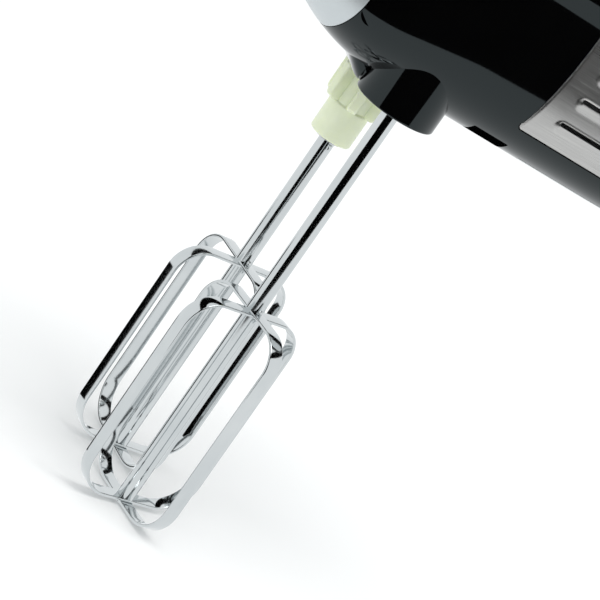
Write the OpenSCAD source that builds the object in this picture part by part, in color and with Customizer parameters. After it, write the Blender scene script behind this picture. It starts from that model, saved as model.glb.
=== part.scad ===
// Hand mixer with two beaters, modelled as it comes apart on a bench.
// +X is forward (nose), +Y is the user's left, +Z is up. The origin is on the surface under the
// beater tips, midway along the mixer's length. Sizes are millimetres.

/* [Body] */
// Overall width of the body
body_w = 78; // [74:1:96]
// Height of the body from underside to crown
body_h = 74; // [70:1:90]
// Reach of the nose ahead of the beater axes
nose_reach = 66; // [60:1:80]
// Reach of the heel behind the beater axes
heel_reach = 134; // [130:1:165]
// Wall of the plastic shells
wall = 2.4; // [2:0.1:3]
// Height of each boss below the underside
boss_drop = 4.5; // [3:0.5:8]
// Radius of each beater boss
boss_r = 14.2; // [13.5:0.1:17]
// Thickness of the steel side panels
panel_t = 0.8; // [0.6:0.1:1.2]
// Number of pressed louvres in a side panel
louvre_count = 4; // [2:1:5]
// Gap left round covers, panels and buttons
seam_gap = 0.3; // [0.2:0.1:0.5]

/* [Handle] */
// Height of the handle's crown above the body's crown
handle_rise = 61; // [56:1:75]
// Thickness of the grip from top to bottom
grip_h = 26; // [22:1:31]
// Width of the grip
grip_w = 31; // [27:1:38]

/* [Beaters] */
// Distance between the two beater axes
spindle_spacing = 40.2; // [38:0.2:50]
// Diameter of a beater shaft
shaft_d = 6; // [5:0.1:7.2]
// Length of a beater below the bosses
beater_reach = 161; // [135:1:195]
// Height of the beater loops
loop_h = 80.5; // [66:0.5:97]
// Radius from the shaft's axis to the middle of a loop's strip
loop_r = 23.1; // [19:0.1:28]
// Width of the loop strip
strip_w = 5.4; // [4:0.1:6.6]
// Thickness of the loop strip
strip_t = 1; // [0.8:0.1:1.3]

/* [Drive] */
// Teeth on each worm wheel
wheel_teeth = 30; // [24:1:36]
// Starts on the motor's worm
worm_starts = 2; // [1:1:2]
// Play between worm thread and wheel tooth, each side
mesh_play = 0.32; // [0.25:0.01:0.4]
// Radius of the armature core
armature_r = 16; // [13:0.5:17]
// Length of the armature core
armature_len = 28; // [22:1:34]
// Radius of the motor shaft
motor_shaft_r = 3; // [2.5:0.1:3.5]
// Radial running clearance of shafts in bushes
run_gap = 0.05; // [0.02:0.01:0.08]

/* [Controls] */
// Travel of the eject button
eject_travel = 8; // [5:0.5:9]
// Travel of the turbo button
turbo_travel = 3; // [2:0.5:4]
// Travel of the speed selector
selector_travel = 20; // [14:1:24]
// Radius of the bore in the cord bush
cord_bore_r = 3.7; // [3:0.1:4.4]

/* [Hidden] */
$fn = 48;

heel_pad_t = 2.5;                    // the pad stands this far behind the heel
heel_pad_w = 30;
heel_pad_h = 38;
tenon_head = 0.8;                    // riveted head under the loops
origin_x = (heel_reach + heel_pad_t - nose_reach) / 2;
origin_z = beater_reach + tenon_head;

under_z = boss_drop;                 // heights from the plane of the boss rims
crown_z = under_z + body_h;
waist_z = under_z + 43.5;
heel_pad_z = under_z + 37;
section_n = 3;                       // squareness of the body's cross section
nose_x = 12;                         // the nose rounds off ahead of this
heel_x = -62;                        // the heel rounds off behind this
bulge_x = -10;                       // the sides draw in ahead of this
ring_end = 84;                       // last station of a rounded end, in degrees

handle_front_x = 14;
handle_rear_x = 26 - heel_reach;
handle_foot_z = crown_z - 20;
handle_top_z = crown_z + handle_rise - grip_h / 2;
arch_n = 4.6;
grip_n = 2.7;

half_spacing = spindle_spacing / 2;
worm_z = under_z + 37.5;               // height of the motor axis
worm_pitch_r = 5.1;
wheel_pitch_r = half_spacing - worm_pitch_r;
wheel_module = 2 * wheel_pitch_r / wheel_teeth;
axial_pitch = PI * wheel_module;
worm_lead = axial_pitch * worm_starts;
lead_angle = atan(worm_lead / (2 * PI * worm_pitch_r));
wheel_t = 8;
worm_len = 22;

spindle_r = 6;
spindle_low = 4;
spindle_top = worm_z + 15;
shaft_top = spindle_top - 3;
shaft_r = shaft_d / 2;
left_phase = 115;                    // first tine of each beater, from +X towards +Y; together they make an
right_phase = 110;                   // odd multiple of 45 degrees, so that the tines pass between each other
frame_low = under_z + 17.5;             // underside of the gear frame
frame_t = 3;
frame_half = 22;                     // half the frame's length
frame_side = 10.5;                   // plate beyond each spindle
frame_wall = 4;
front_bearing_r = motor_shaft_r + 3;
rear_bearing_r = motor_shaft_r + 3.5;
sleeve_h = 7;                        // the lower bushes hang into the bosses
cover_low = worm_z + wheel_t / 2 + 4;
bush_wall = 2;

core_front = -40;
core_rear = core_front - armature_len;
air_gap = 0.5;
core_h = 48;                         // height and width of the stator laminations
core_w = 52;
comm_r = 9;
comm_front = core_rear - 9;
comm_rear = comm_front - 10;
bracket_x = comm_rear - 6;
bracket_t = 4;

seam_r = 55;                         // round seam of the nose cover
seam_x = 85.2;
seam_z = under_z + 23.5;

panel_front = -32;                   // outline of the side panels
panel_rear = 38 - heel_reach;
panel_low = under_z + 13.5;
panel_high = under_z + 59.5;
louvre_h = 5.2;
louvre_pitch = 10;
louvre_rise = 0.8;
cover_front = -43;
cover_rear = 18 - heel_reach;
cover_h = 2.6;

eject_x = 0;
eject_size = [13, 17];
turbo_x = -19;
turbo_size = [12, 14];
selector_x = -36;
selector_rear = selector_x - selector_travel;
top_skin_z = crown_z + handle_rise;
rod_r = 2.5;
guide_z = crown_z + 8;
guide_t = 4;
fork_z = spindle_top + eject_travel + 1;     // cross bar of the ejector, clear of the spindles when pressed
fork_t = 5;
prong_r = shaft_r - 0.5;
eject_seat = guide_z + 26 + eject_travel;    // underside of the eject button
turbo_seat = top_skin_z - 11 - turbo_travel;
grip_front = selector_rear - 14;
grip_back = handle_rear_x + 14;

bush_x = handle_rear_x - 19.5;       // cord bush in the rear of the handle
bush_z = crown_z + 22;
bush_len = 14;
bush_flange = 3;

collar_low = -28.5;
collar_step = -16.2;
collar_high = -2.6;
collar_r = 7.6;
rib_r = 10.8;
collar_ribs = 6;

// x, z and seat depth of each housing screw
screw_points = [[20 - heel_reach, under_z + 20, 14], [20 - heel_reach, under_z + 54, 14],
    [26.3, under_z + 20, 12], [handle_front_x + 6, crown_z + 24, 6],
    [handle_rear_x + 3, crown_z + 22, 6]];
screw_r = 1.5;
screw_head_r = 3.2;
screw_len = 13;
pillar_r = 4;

module placed() translate([origin_x, 0, origin_z]) children();
module mirror_y(on = true) mirror([0, on ? 1 : 0, 0]) children();
module along_x() rotate([0, 90, 0]) children();
module along_y() rotate([-90, 0, 0]) children();

// Closed skin through a list of rings that all have the same number of points
module loft(rings) {
    n = len(rings);
    m = len(rings[0]);
    points = [for (ring = rings) each ring];
    sides = [for (i = [0:n - 2], j = [0:m - 1], half = [0, 1])
        let (a = i * m + j, b = i * m + (j + 1) % m) half == 0 ? [a, b, b + m] : [a, b + m, a + m]];
    ends = [for (j = [1:m - 2], far = [0, 1]) far == 0 ? [0, j + 1, j]
        : [(n - 1) * m, (n - 1) * m + j, (n - 1) * m + j + 1]];
    polyhedron(points, concat(sides, ends), convexity = 8);
}

function super(c, n) = sign(c) * pow(abs(c), 2 / n);
function rounding(u, p) = u <= 0 ? 1 : pow(max(0, 1 - pow(min(u, 1), p)), 1 / p);

// A half ring runs from bottom to top at y >= 0. It closes past the middle plane, or with its mirror image
past_middle = 3;
function one_side(half, past) = concat([[half[0].x, -past, half[0].z]], half,
    [[half[len(half) - 1].x, -past, half[len(half) - 1].z]]);
function whole(half) = concat(half, [for (i = [len(half) - 2:-1:1]) [half[i].x, -half[i].y, half[i].z]]);

// Station along the body: u runs from -1 at the heel to 1 at the nose
function station(u, inset) = let (s = sin(abs(u) * ring_end) / sin(ring_end))
    u < 0 ? heel_x - (heel_reach - inset + heel_x) * s : nose_x + (nose_reach - inset - nose_x) * s;
function toward_nose(x, from, inset) = (x - from) / (nose_reach - inset - from) * sin(ring_end);
function toward_heel(x, inset) = (heel_x - x) / (heel_reach - inset + heel_x) * sin(ring_end);
function side_at(x, inset) = (body_w / 2 - inset) * rounding(toward_nose(x, bulge_x, inset), 2.3)
    * rounding(toward_heel(x, inset), 2.7);
function drop_at(x, inset) = (waist_z - under_z - inset)
    * rounding(toward_nose(x, nose_x, inset), 1.85) * rounding(toward_heel(x, inset), 3.2);
function rise_at(x, inset) = (crown_z - waist_z - inset)
    * rounding(toward_nose(x, nose_x, inset), 2.1) * rounding(toward_heel(x, inset), 3.2);
function body_half(x, inset) = [for (t = [-90:10:90]) [x, max(0, side_at(x, inset) * super(cos(t), section_n)),
    waist_z + (t < 0 ? drop_at(x, inset) : rise_at(x, inset)) * super(sin(t), section_n)]];
function body_x(inset) = concat([for (u = [1, 0.87, 0.74, 0.6, 0.45, 0.3, 0.15]) station(u, inset)],
    [nose_x, 0, -20, -40, heel_x], [for (u = [0.17, 0.34, 0.5, 0.64, 0.78, 0.9, 1]) station(-u, inset)]);
module body_solid(inset) loft([for (x = body_x(inset)) whole(body_half(x, inset))]);
module body_side(inset) loft([for (x = body_x(inset)) one_side(body_half(x, inset), past_middle + inset)]);

// Arch of the handle: phi runs from 0 at the front foot to 180 at the rear foot
function arch(phi) = [(handle_front_x + handle_rear_x) / 2
    + (handle_front_x - handle_rear_x) / 2 * super(cos(phi), arch_n), 0,
    handle_foot_z + (handle_top_z - handle_foot_z) * super(sin(phi), arch_n)];
function arch_dir(phi) = let (d = arch(min(180, phi + 0.5)) - arch(max(0, phi - 0.5))) d / norm(d);
function grip_half_h(phi) = grip_h / 2 + 8 * pow(max(0, cos(phi)), 3) + 3 * pow(max(0, -cos(phi)), 3);
function grip_half_w(phi) = grip_w / 2 + 2 * pow(abs(cos(phi)), 3);
function arch_half(phi, inset) = let (c = arch(phi), d = arch_dir(phi), up = [-d.z, 0, d.x],
    h = grip_half_h(phi) - inset, w = grip_half_w(phi) - inset)
    [for (t = [-90:15:90]) c - up * h * super(sin(t), grip_n) + [0, max(0, w * super(cos(t), grip_n)), 0]];
module handle_solid(inset) loft([for (phi = [0:7.5:180]) whole(arch_half(phi, inset))]);
module handle_side(inset) loft([for (phi = [0:7.5:180])
    one_side(arch_half(phi, inset), past_middle + 5 + inset)]);

module rounded_plate(w, h, r) {
    square([w - 2 * r, h], center = true);
    square([w, h - 2 * r], center = true);
    for (x = [-1, 1], y = [-1, 1]) translate([x * (w / 2 - r), y * (h / 2 - r)]) circle(r);
}

module pill(length, width) {
    translate([0, -width / 2]) square([length - width, width]);
    for (x = [0, length - width]) translate([x, 0]) circle(width / 2);
}

// Outline of a side panel: near-upright front edge, raked rear edge
panel_bow = 3.5;
panel_rake = 14;
function panel_front_at(z) = let (t = (z - panel_low) / (panel_high - panel_low))
    panel_front - panel_bow * (1 - pow(1 - t, 2));
function panel_rear_at(z) = let (t = (z - panel_low) / (panel_high - panel_low))
    panel_rear + panel_rake * t * t;
module panel_outline(gap) {
    heights = [for (t = [0:0.125:1]) panel_low + (panel_high - panel_low) * t];
    grow = function (z) z <= panel_low ? z - gap : z >= panel_high ? z + gap : z;
    polygon(concat([for (z = heights) [panel_front_at(z) + gap, grow(z)]],
        [for (i = [8:-1:0]) [panel_rear_at(heights[i]) - gap, grow(heights[i])]]));
}

module side_prism(gap) rotate([90, 0, 0]) mirror([0, 0, 1]) translate([0, 0, body_w / 4]) linear_extrude(body_w) panel_outline(gap);

function louvre_z(i) = panel_low + 7.5 + i * louvre_pitch;
function louvre_front(i) = panel_front_at(louvre_z(i)) - 7;
function louvre_len(i) = louvre_front(i) - panel_rear_at(louvre_z(i)) - 9;
module louvre_prisms(width, lift, trim) for (i = [0:louvre_count - 1])
    translate([louvre_front(i) - trim, body_w / 4, louvre_z(i) + lift]) rotate([90, 0, 180])
        linear_extrude(body_w) pill(louvre_len(i) - 2 * trim, width);

// Slot under the top edge of each louvre, where the air goes in
module vents() louvre_prisms(1.4, louvre_h / 2 - 1.1, 1.5);

module screw_axis(p) translate([p.x, 0, p.y]) along_y() children();

module seam_round(gap) translate([seam_x, -body_w, seam_z]) along_y()
    cylinder(h = 2 * body_w, r = seam_r + gap, $fn = 96);

module bottom_cut(gap) translate([cover_rear - gap, -body_w / 2 - 1, 0])
    cube([cover_front - cover_rear + 2 * gap, body_w + 2, under_z + cover_h + gap]);

module heel_block(gap) translate([-heel_reach - heel_pad_t, 0, heel_pad_z]) along_x()
    linear_extrude(heel_pad_t + 7) rounded_plate(heel_pad_w + 2 * gap, heel_pad_h + 2 * gap, 7);

module grip_region(gap) translate([grip_back - gap, -grip_w, handle_top_z + grip_h / 2 - 9 - gap])
    cube([grip_front - grip_back + 2 * gap, 2 * grip_w, 20]);

module button_well(x, size) translate([x, 0, handle_top_z]) linear_extrude(40)
    rounded_plate(size.x + 2 * seam_gap, size.y + 2 * seam_gap, min(size) / 2 - 1);

module selector_slot() translate([(selector_x + selector_rear) / 2, 0, handle_top_z]) linear_extrude(40)
    rounded_plate(selector_travel + 8, 6, 2.9);

// Half breadth of the body's skin at a point of its side view
function skin_at(x, z, inset) = let (dz = (z - waist_z) / (z < waist_z ? drop_at(x, inset) : rise_at(x, inset)))
    side_at(x, inset) * pow(max(0, 1 - pow(abs(dz), section_n)), 1 / section_n);
function pillar_len(p) = p.y > crown_z ? grip_w / 2 - wall / 2 : skin_at(p.x, p.y, wall / 2);

// Left half of the housing: body, half the handle, one boss and its screw pillars
module housing_half() {
    difference() {
        union() {
            intersection() {
                difference() {
                    union() {
                        body_side(0);
                        handle_side(0);
                        translate([0, half_spacing, 0]) cylinder(h = under_z + 24, r = boss_r);
                        boss_web();
                    }
                    union() {
                        body_side(wall);
                        handle_side(wall);
                    }
                }
                translate([-2 * heel_reach, 0, -1]) cube([4 * heel_reach, body_w, 2 * heel_reach]);
            }
            for (p = screw_points) screw_axis(p) cylinder(h = pillar_len(p), r = pillar_r);
        }
        translate([0, half_spacing, 3]) cylinder(h = frame_low - 4, r = boss_r - wall);
        translate([0, half_spacing, -1]) cylinder(h = 10, r = rib_r + 0.4);
        seam_round(seam_gap / 2);
        bottom_cut(seam_gap / 2);
        heel_block(0.1);
        side_prism(seam_gap);
        air_outlet();
        button_well(eject_x, eject_size);
        button_well(turbo_x, turbo_size);
        selector_slot();
        grip_region(seam_gap / 2);
        bush_seat(0.1);
    }
}

// Fairing that joins the two bosses at the front, rounded off towards its ends
web_end = 19;
web_back = 3;
web_top = under_z + 8;
module boss_web() {
    section = [[web_back, 0.5], [boss_r - 0.6, 0.5], [boss_r + 1.2, 1.2], [boss_r + 10.4, under_z + 5],
        [boss_r + 10.4, web_top], [web_back, web_top]];
    loft([for (y = [-past_middle, 6, 10, 13, 15.5, 17.3, 18.5, web_end - 0.1]) let (k = rounding(max(0, y) / web_end, 4))
        [for (p = section) [web_back + (p.x - web_back) * k, y, web_top + (p.y - web_top) * k]]]);
}

// Rectangular air outlet on the lower edge of the side
module air_outlet() translate([-35.5, body_w / 2 - 21, under_z - 3]) cube([13, 16, 8.8]);

module bush_seat(gap) translate([bush_x, 0, bush_z]) along_x() cylinder(h = bush_len, r = cord_bore_r + 1.8 + gap);

module housing_left() {
    color("#141415") placed() difference() {
        housing_half();
        for (p = screw_points) screw_axis(p) translate([0, 0, -1])
            cylinder(h = screw_len - p.z + 3, r = screw_r);
    }
}

module housing_right() {
    color("#141415") placed() mirror_y() difference() {
        housing_half();
        for (p = screw_points) screw_axis(p) {
            translate([0, 0, -1]) cylinder(h = body_w, r = screw_r + 0.2);
            translate([0, 0, p.z]) cylinder(h = body_w, r = screw_head_r + 0.3);
        }
    }
}

module nose_cover() {
    color("#c9cccf") placed() difference() {
        intersection() {
            body_solid(0);
            seam_round(-seam_gap / 2);
        }
        body_solid(wall);
    }
}

module side_panel() {
    difference() {
        intersection() {
            side_prism(0);
            union() {
                body_side(0);
                intersection() {
                    body_side(-louvre_rise);
                    louvre_prisms(louvre_h, 0, 0);
                }
            }
        }
        body_side(panel_t);
        vents();
    }
}
module side_panel_left() { color("#b9b8b4") placed() side_panel(); }
module side_panel_right() { color("#b9b8b4") placed() mirror_y() side_panel(); }

module bottom_cover() {
    color("#d4d6d8") placed() difference() {
        intersection() {
            body_solid(0);
            bottom_cut(-seam_gap / 2);
        }
        body_solid(wall);
        heel_block(0.1);
    }
}

module heel_pad() { color("#2a2a2c") placed() heel_block(0); }

module grip_pad() {
    color("#3a3b3d") placed() intersection() {
        grip_region(-seam_gap / 2);
        difference() {
            handle_solid(0);
            handle_solid(wall);
        }
    }
}

module cord_bush() {
    color("#1e1e20") placed() translate([bush_x, 0, bush_z]) along_x() difference() {
        union() {
            cylinder(h = bush_len, r = cord_bore_r + 1.8);
            cylinder(h = bush_flange, r = cord_bore_r + 3.4);
        }
        translate([0, 0, -1]) cylinder(h = bush_len + 2, r = cord_bore_r);
    }
}

module housing_screws() {
    color("#8f9296") placed() mirror_y() for (p = screw_points) screw_axis(p) {
        difference() {
            translate([0, 0, p.z]) cylinder(h = 2.2, r = screw_head_r);
            translate([0, 0, p.z + 3.2]) cube([1, 4, 4], center = true);
            translate([0, 0, p.z + 3.2]) cube([4, 1, 4], center = true);
        }
        translate([0, 0, p.z - screw_len]) cylinder(h = screw_len, r = screw_r);
    }
}

// Moulded gear frame: bottom plate with spindle bores, bearing walls and corner posts
module gear_frame() {
    color("#7d8084") placed() difference() {
        union() {
            translate([-frame_half, -half_spacing - frame_side, frame_low])
                cube([2 * frame_half, spindle_spacing + 2 * frame_side, frame_t]);
            for (y = [-1, 1]) translate([0, y * half_spacing, frame_low - sleeve_h])
                cylinder(h = sleeve_h + frame_t, r = spindle_r + bush_wall + 2.4);
            for (x = [-frame_half, frame_half - frame_wall]) translate([x, -9, frame_low])
                cube([frame_wall, 18, cover_low - frame_low]);
            for (x = [3 - frame_half, frame_half - 3], y = [-1, 1]) translate([x, y * (half_spacing + 6), frame_low])
                cylinder(h = cover_low - frame_low, r = 2.8);
        }
        for (y = [-1, 1]) translate([0, y * half_spacing, frame_low - sleeve_h - 1])
            cylinder(h = 20, r = spindle_r + bush_wall);
        translate([frame_half - frame_wall - 1, 0, worm_z]) along_x() cylinder(h = frame_wall + 2, r = front_bearing_r);
        translate([-frame_half - 1, 0, worm_z]) along_x() cylinder(h = frame_wall + 2, r = motor_shaft_r + 1.2);
    }
}

module gear_cover() {
    color("#7d8084") placed() difference() {
        translate([-frame_half - 2, -half_spacing - frame_side - 1.5, cover_low])
            cube([2 * frame_half + 4, spindle_spacing + 2 * frame_side + 3, frame_t]);
        for (y = [-1, 1]) translate([0, y * half_spacing, cover_low - 1])
            cylinder(h = frame_t + 2, r = spindle_r + bush_wall);
    }
}

module bush(height) difference() {
    cylinder(h = height, r = spindle_r + bush_wall);
    translate([0, 0, -1]) cylinder(h = height + 2, r = spindle_r + run_gap);
}

module spindle_bushes() {
    color("#a9743a") placed() for (y = [-1, 1]) {
        translate([0, y * half_spacing, frame_low - sleeve_h]) bush(sleeve_h + frame_t);
        translate([0, y * half_spacing, cover_low]) bush(frame_t);
    }
}

module stator_core() {
    color("#6f7276") placed() translate([core_rear, 0, worm_z]) along_x() difference() {
        linear_extrude(armature_len) rounded_plate(core_h, core_w, 6);
        translate([0, 0, -1]) cylinder(h = armature_len + 2, r = armature_r + air_gap);
        for (y = [-1, 1]) translate([0, y * (armature_r + 2.6), -1])
            linear_extrude(armature_len + 2) square([22, 5], center = true);
    }
}

// Field coils: the ends stand out at both faces of the stator, joined by runs through its slots
module field_coils() {
    color("#b5672d") placed() translate([core_rear - 6, 0, worm_z]) along_x() for (y = [-1, 1])
        translate([0, y * (armature_r + 2.6), 0]) {
            translate([-10.5, -2, 0]) cube([21, 4, armature_len + 12]);
            for (z = [0, armature_len + 7.5]) translate([-15, -2.4, z]) cube([30, 4.8, 4.5]);
        }
}

module front_bearing() {
    color("#a9743a") placed() translate([frame_half - frame_wall, 0, worm_z]) along_x() difference() {
        cylinder(h = frame_wall, r = front_bearing_r);
        translate([0, 0, -1]) cylinder(h = 6, r = motor_shaft_r + run_gap);
    }
}

module rear_bearing() {
    color("#a9743a") placed() translate([bracket_x - 1, 0, worm_z]) along_x() difference() {
        cylinder(h = bracket_t + 2, r = rear_bearing_r);
        translate([0, 0, -1]) cylinder(h = bracket_t + 4, r = motor_shaft_r + run_gap);
    }
}

// Rear bracket: holds the rear bearing and reaches forward to the stator
module motor_bracket() {
    color("#7d8084") placed() difference() {
        union() {
            translate([bracket_x, 0, worm_z]) along_x() linear_extrude(bracket_t)
                rounded_plate(core_h - 4, 34, 5);
            for (z = [-1, 1]) translate([bracket_x, -5, worm_z + z * (core_h / 2 - 4) - 2])
                cube([core_rear - bracket_x, 10, 4]);
        }
        translate([bracket_x - 1, 0, worm_z]) along_x() cylinder(h = bracket_t + 2, r = rear_bearing_r);
    }
}

module at_brushes() placed() translate([(comm_front + comm_rear) / 2, 0, worm_z])
    for (side = [0, 180]) rotate([side, 0, 0]) children();

module brush_holders() {
    color("#a9743a") at_brushes() difference() {
        translate([-4, comm_r + 2, -4]) cube([8, 14, 8]);
        translate([-2.6, comm_r + 1, -2.6]) cube([5.2, 14, 5.2]);
    }
}

module carbon_brushes() {
    color("#2b2b2d") at_brushes() difference() {
        translate([-2.5, comm_r - 0.6, -2.5]) cube([5, 7, 5]);
        translate([-5, 0, 0]) along_x() cylinder(h = 10, r = comm_r + 0.1);
    }
}

// Round wire wound into a compression spring along +Z
module coil_spring(height, coil_r, wire_r, turns) {
    steps = 12 * turns;
    loft([for (i = [0:steps]) let (a = i * 30, z = wire_r + (height - 2 * wire_r) * i / steps)
        [for (b = [0:72:288]) [(coil_r + wire_r * cos(b)) * cos(a), (coil_r + wire_r * cos(b)) * sin(a),
            z - wire_r * sin(b)]]]);
}

module brush_springs() {
    color("#b9bcc0") at_brushes() translate([0, comm_r + 6.5, 0]) along_y() coil_spring(8, 1.8, 0.3, 5);
}

module switch_board() {
    color("#3f6b4a") placed() {
        translate([selector_rear - 6, -8, handle_top_z - 4]) cube([selector_travel + 14, 16, 1.6]);
        for (x = [0:3]) translate([selector_rear + x * selector_travel / 3, -6, handle_top_z - 2.4]) cube([3, 4, 2]);
    }
}

module ejector_guide() {
    color("#7d8084") placed() difference() {
        intersection() {
            translate([eject_x - 4, -grip_w, guide_z]) cube([24, 2 * grip_w, guide_t]);
            handle_solid(wall + 0.05);
        }
        translate([eject_x, 0, guide_z - 1]) cylinder(h = guide_t + 2, r = rod_r + run_gap);
        translate([handle_front_x + 6, -grip_w, crown_z + 24]) along_y() cylinder(h = 2 * grip_w, r = pillar_r + 0.1);
    }
}

module motor_shaft() {
    color("#b9bcc0") placed() translate([bracket_x - 3, 0, worm_z]) along_x()
        cylinder(h = frame_half + 2 - bracket_x, r = motor_shaft_r);
}

// Worm: a sleeve on the motor shaft that carries the helical threads
thread_top = worm_pitch_r + 0.8 * wheel_module;
thread_root = worm_pitch_r - 1.1 * wheel_module;
half_thread = axial_pitch / 4 - mesh_play / 2;
flank = tan(20);
module worm_thread() {
    steps = 20;
    turns = (worm_len - axial_pitch) / worm_lead;
    sunk = 0.4;
    low = half_thread + (worm_pitch_r - thread_root + sunk) * flank;
    high = half_thread - (thread_top - worm_pitch_r) * flank;
    loft([for (i = [0:steps * turns]) let (a = 360 * i / steps, x = worm_lead * i / steps)
        [for (p = [[thread_root - sunk, -low], [thread_top, -high], [thread_top, high], [thread_root - sunk, low]])
            [p.x * cos(a), p.x * sin(a), x + p.y]]]);
}

// Wheel teeth mesh at x = 0, so a gap of the thread lies there on both sides
module drive_worm() {
    whole_pitches = floor((worm_len / 2 - axial_pitch / 2) / axial_pitch) * axial_pitch;
    color("#b9bcc0") placed() translate([0, 0, worm_z]) along_x() {
        difference() {
            union() {
                translate([0, 0, -worm_len / 2]) cylinder(h = worm_len, r = thread_root);
                for (s = [0:worm_starts - 1])
                    rotate([0, 0, 90 + s * 360 / worm_starts])
                        translate([0, 0, -whole_pitches - axial_pitch / 2]) worm_thread();
            }
            translate([0, 0, -worm_len]) cylinder(h = 2 * worm_len, r = motor_shaft_r);
        }
    }
}

module armature_core() {
    slots = 12;
    color("#6f7276") placed() translate([core_rear, 0, worm_z]) along_x() difference() {
        cylinder(h = armature_len, r = armature_r);
        translate([0, 0, -1]) cylinder(h = armature_len + 2, r = motor_shaft_r);
        for (i = [0:slots - 1]) rotate([0, 0, i * 360 / slots])
            translate([armature_r - 5, -1.2, -1]) cube([6, 2.4, armature_len + 2]);
    }
}

module armature_windings() {
    color("#b5672d") placed() for (x = [core_front, core_rear - 5]) translate([x, 0, worm_z]) along_x()
        difference() {
            cylinder(h = 5, r = armature_r - 1.5);
            translate([0, 0, -1]) cylinder(h = 7, r = motor_shaft_r);
        }
}

module commutator() {
    bars = 12;
    color("#b5672d") placed() translate([comm_rear, 0, worm_z]) along_x() difference() {
        cylinder(h = comm_front - comm_rear, r = comm_r);
        translate([0, 0, -1]) cylinder(h = 20, r = motor_shaft_r);
        for (i = [0:bars - 1]) rotate([0, 0, i * 360 / bars])
            translate([comm_r - 1, -0.3, -1]) cube([2, 0.6, 20]);
    }
}

module cooling_fan() {
    blades = 9;
    fan_r = armature_r + 3;
    fan_gap = 7.5;                   // clear of the field coils
    color("#d9d9d6") placed() translate([core_front + fan_gap, 0, worm_z]) along_x() difference() {
        union() {
            cylinder(h = 7, r = 6);
            cylinder(h = 1.2, r = fan_r);
            for (i = [0:blades - 1]) rotate([0, 0, i * 360 / blades]) rotate([0, 0, 25])
                translate([6.5, -0.6, 0]) cube([fan_r - 8.5, 1.2, 7]);
            for (i = [0:blades - 1]) rotate([0, 0, i * 360 / blades]) rotate([0, 0, 25])
                translate([4, -0.6, 0]) cube([4, 1.2, 7]);
        }
        translate([0, 0, -1]) cylinder(h = 12, r = motor_shaft_r);
    }
}

// Worm wheel: the teeth lean with the thread, one way on each side of the worm
module worm_wheel(side) {
    tip = wheel_pitch_r + 0.8 * wheel_module;
    root = wheel_pitch_r - 1.1 * wheel_module;
    half_tooth = axial_pitch / 4 - mesh_play / 2;
    half_step = side < 0 && worm_starts % 2 == 1 ? 180 / wheel_teeth : 0;    // an odd thread faces this wheel half a pitch on
    translate([0, side * half_spacing, worm_z]) difference() {
        union() {
            translate([0, 0, -wheel_t / 2]) cylinder(h = wheel_t, r = root);
            translate([0, 0, -wheel_t / 2 - 2]) cylinder(h = wheel_t + 4, r = spindle_r + 3);
            for (i = [0:wheel_teeth - 1])
                rotate([0, 0, i * 360 / wheel_teeth - side * 90 + half_step]) translate([wheel_pitch_r, 0, 0])
                    rotate([-lead_angle, 0, 0]) translate([0, 0, -wheel_t / 2]) linear_extrude(wheel_t)
                        polygon([[root - wheel_pitch_r - 0.4, half_tooth + 1.5 * flank * wheel_module],
                            [root - wheel_pitch_r - 0.4, -half_tooth - 1.5 * flank * wheel_module],
                            [tip - wheel_pitch_r, -half_tooth + 0.8 * flank * wheel_module],
                            [tip - wheel_pitch_r, half_tooth - 0.8 * flank * wheel_module]]);
        }
        translate([0, 0, -wheel_t]) cylinder(h = 2 * wheel_t, r = spindle_r);
    }
}
module worm_wheel_left() { color("#e8e6dc") placed() worm_wheel(1); }
module worm_wheel_right() { color("#e8e6dc") placed() worm_wheel(-1); }

// Drive tube: a beater's shaft slides up its bore and its wings enter the cross slot
module spindle(side, phase) translate([0, side * half_spacing, 0]) rotate([0, 0, phase]) difference() {
    translate([0, 0, spindle_low]) cylinder(h = spindle_top - spindle_low, r = spindle_r);
    translate([0, 0, 0]) cylinder(h = spindle_top + 1, r = shaft_r + run_gap);
    translate([-wing_r - 0.2, -0.8, spindle_low - 1]) cube([2 * wing_r + 0.4, 1.6, wing_z + 7 - spindle_low]);
}
wing_r = 4.6;
wing_z = 8;
module spindle_left() { color("#b9bcc0") placed() spindle(1, left_phase); }
module spindle_right() { color("#b9bcc0") placed() spindle(-1, right_phase); }

module at_beater(side, phase) placed() translate([0, side * half_spacing, 0]) rotate([0, 0, phase]) children();

tenon_r = shaft_r - 1;
loop_top = loop_h - beater_reach;    // upper face of the upper strip

// Shaft with drive wings, a detent groove, crimped lugs over the loops and a riveted tenon below
module beater_shaft(lug_z) {
    shoulder = -beater_reach + 2 * strip_t;
    difference() {
        union() {
            translate([0, 0, shoulder]) cylinder(h = shaft_top - 1 - shoulder, r = shaft_r);
            translate([0, 0, shaft_top - 1]) cylinder(h = 1, r1 = shaft_r, r2 = shaft_r - 0.8);
            translate([-wing_r, -0.6, wing_z]) cube([2 * wing_r, 1.2, 5]);
            for (z = [loop_top, loop_top - 2 * strip_t - 1.6]) translate([-4, -0.7, z]) cube([8, 1.4, 1.6]);
            translate([-4, -0.7, lug_z]) cube([8, 1.4, 2.4]);
            translate([0, 0, -beater_reach]) cylinder(h = 2 * strip_t + 1, r = tenon_r);
            translate([0, 0, -beater_reach - tenon_head]) cylinder(h = tenon_head, r1 = tenon_r, r2 = tenon_r + 1);
        }
        translate([0, 0, shaft_top - 14]) rotate_extrude() translate([shaft_r + 0.3, 0]) circle(0.9);
    }
}

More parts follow.
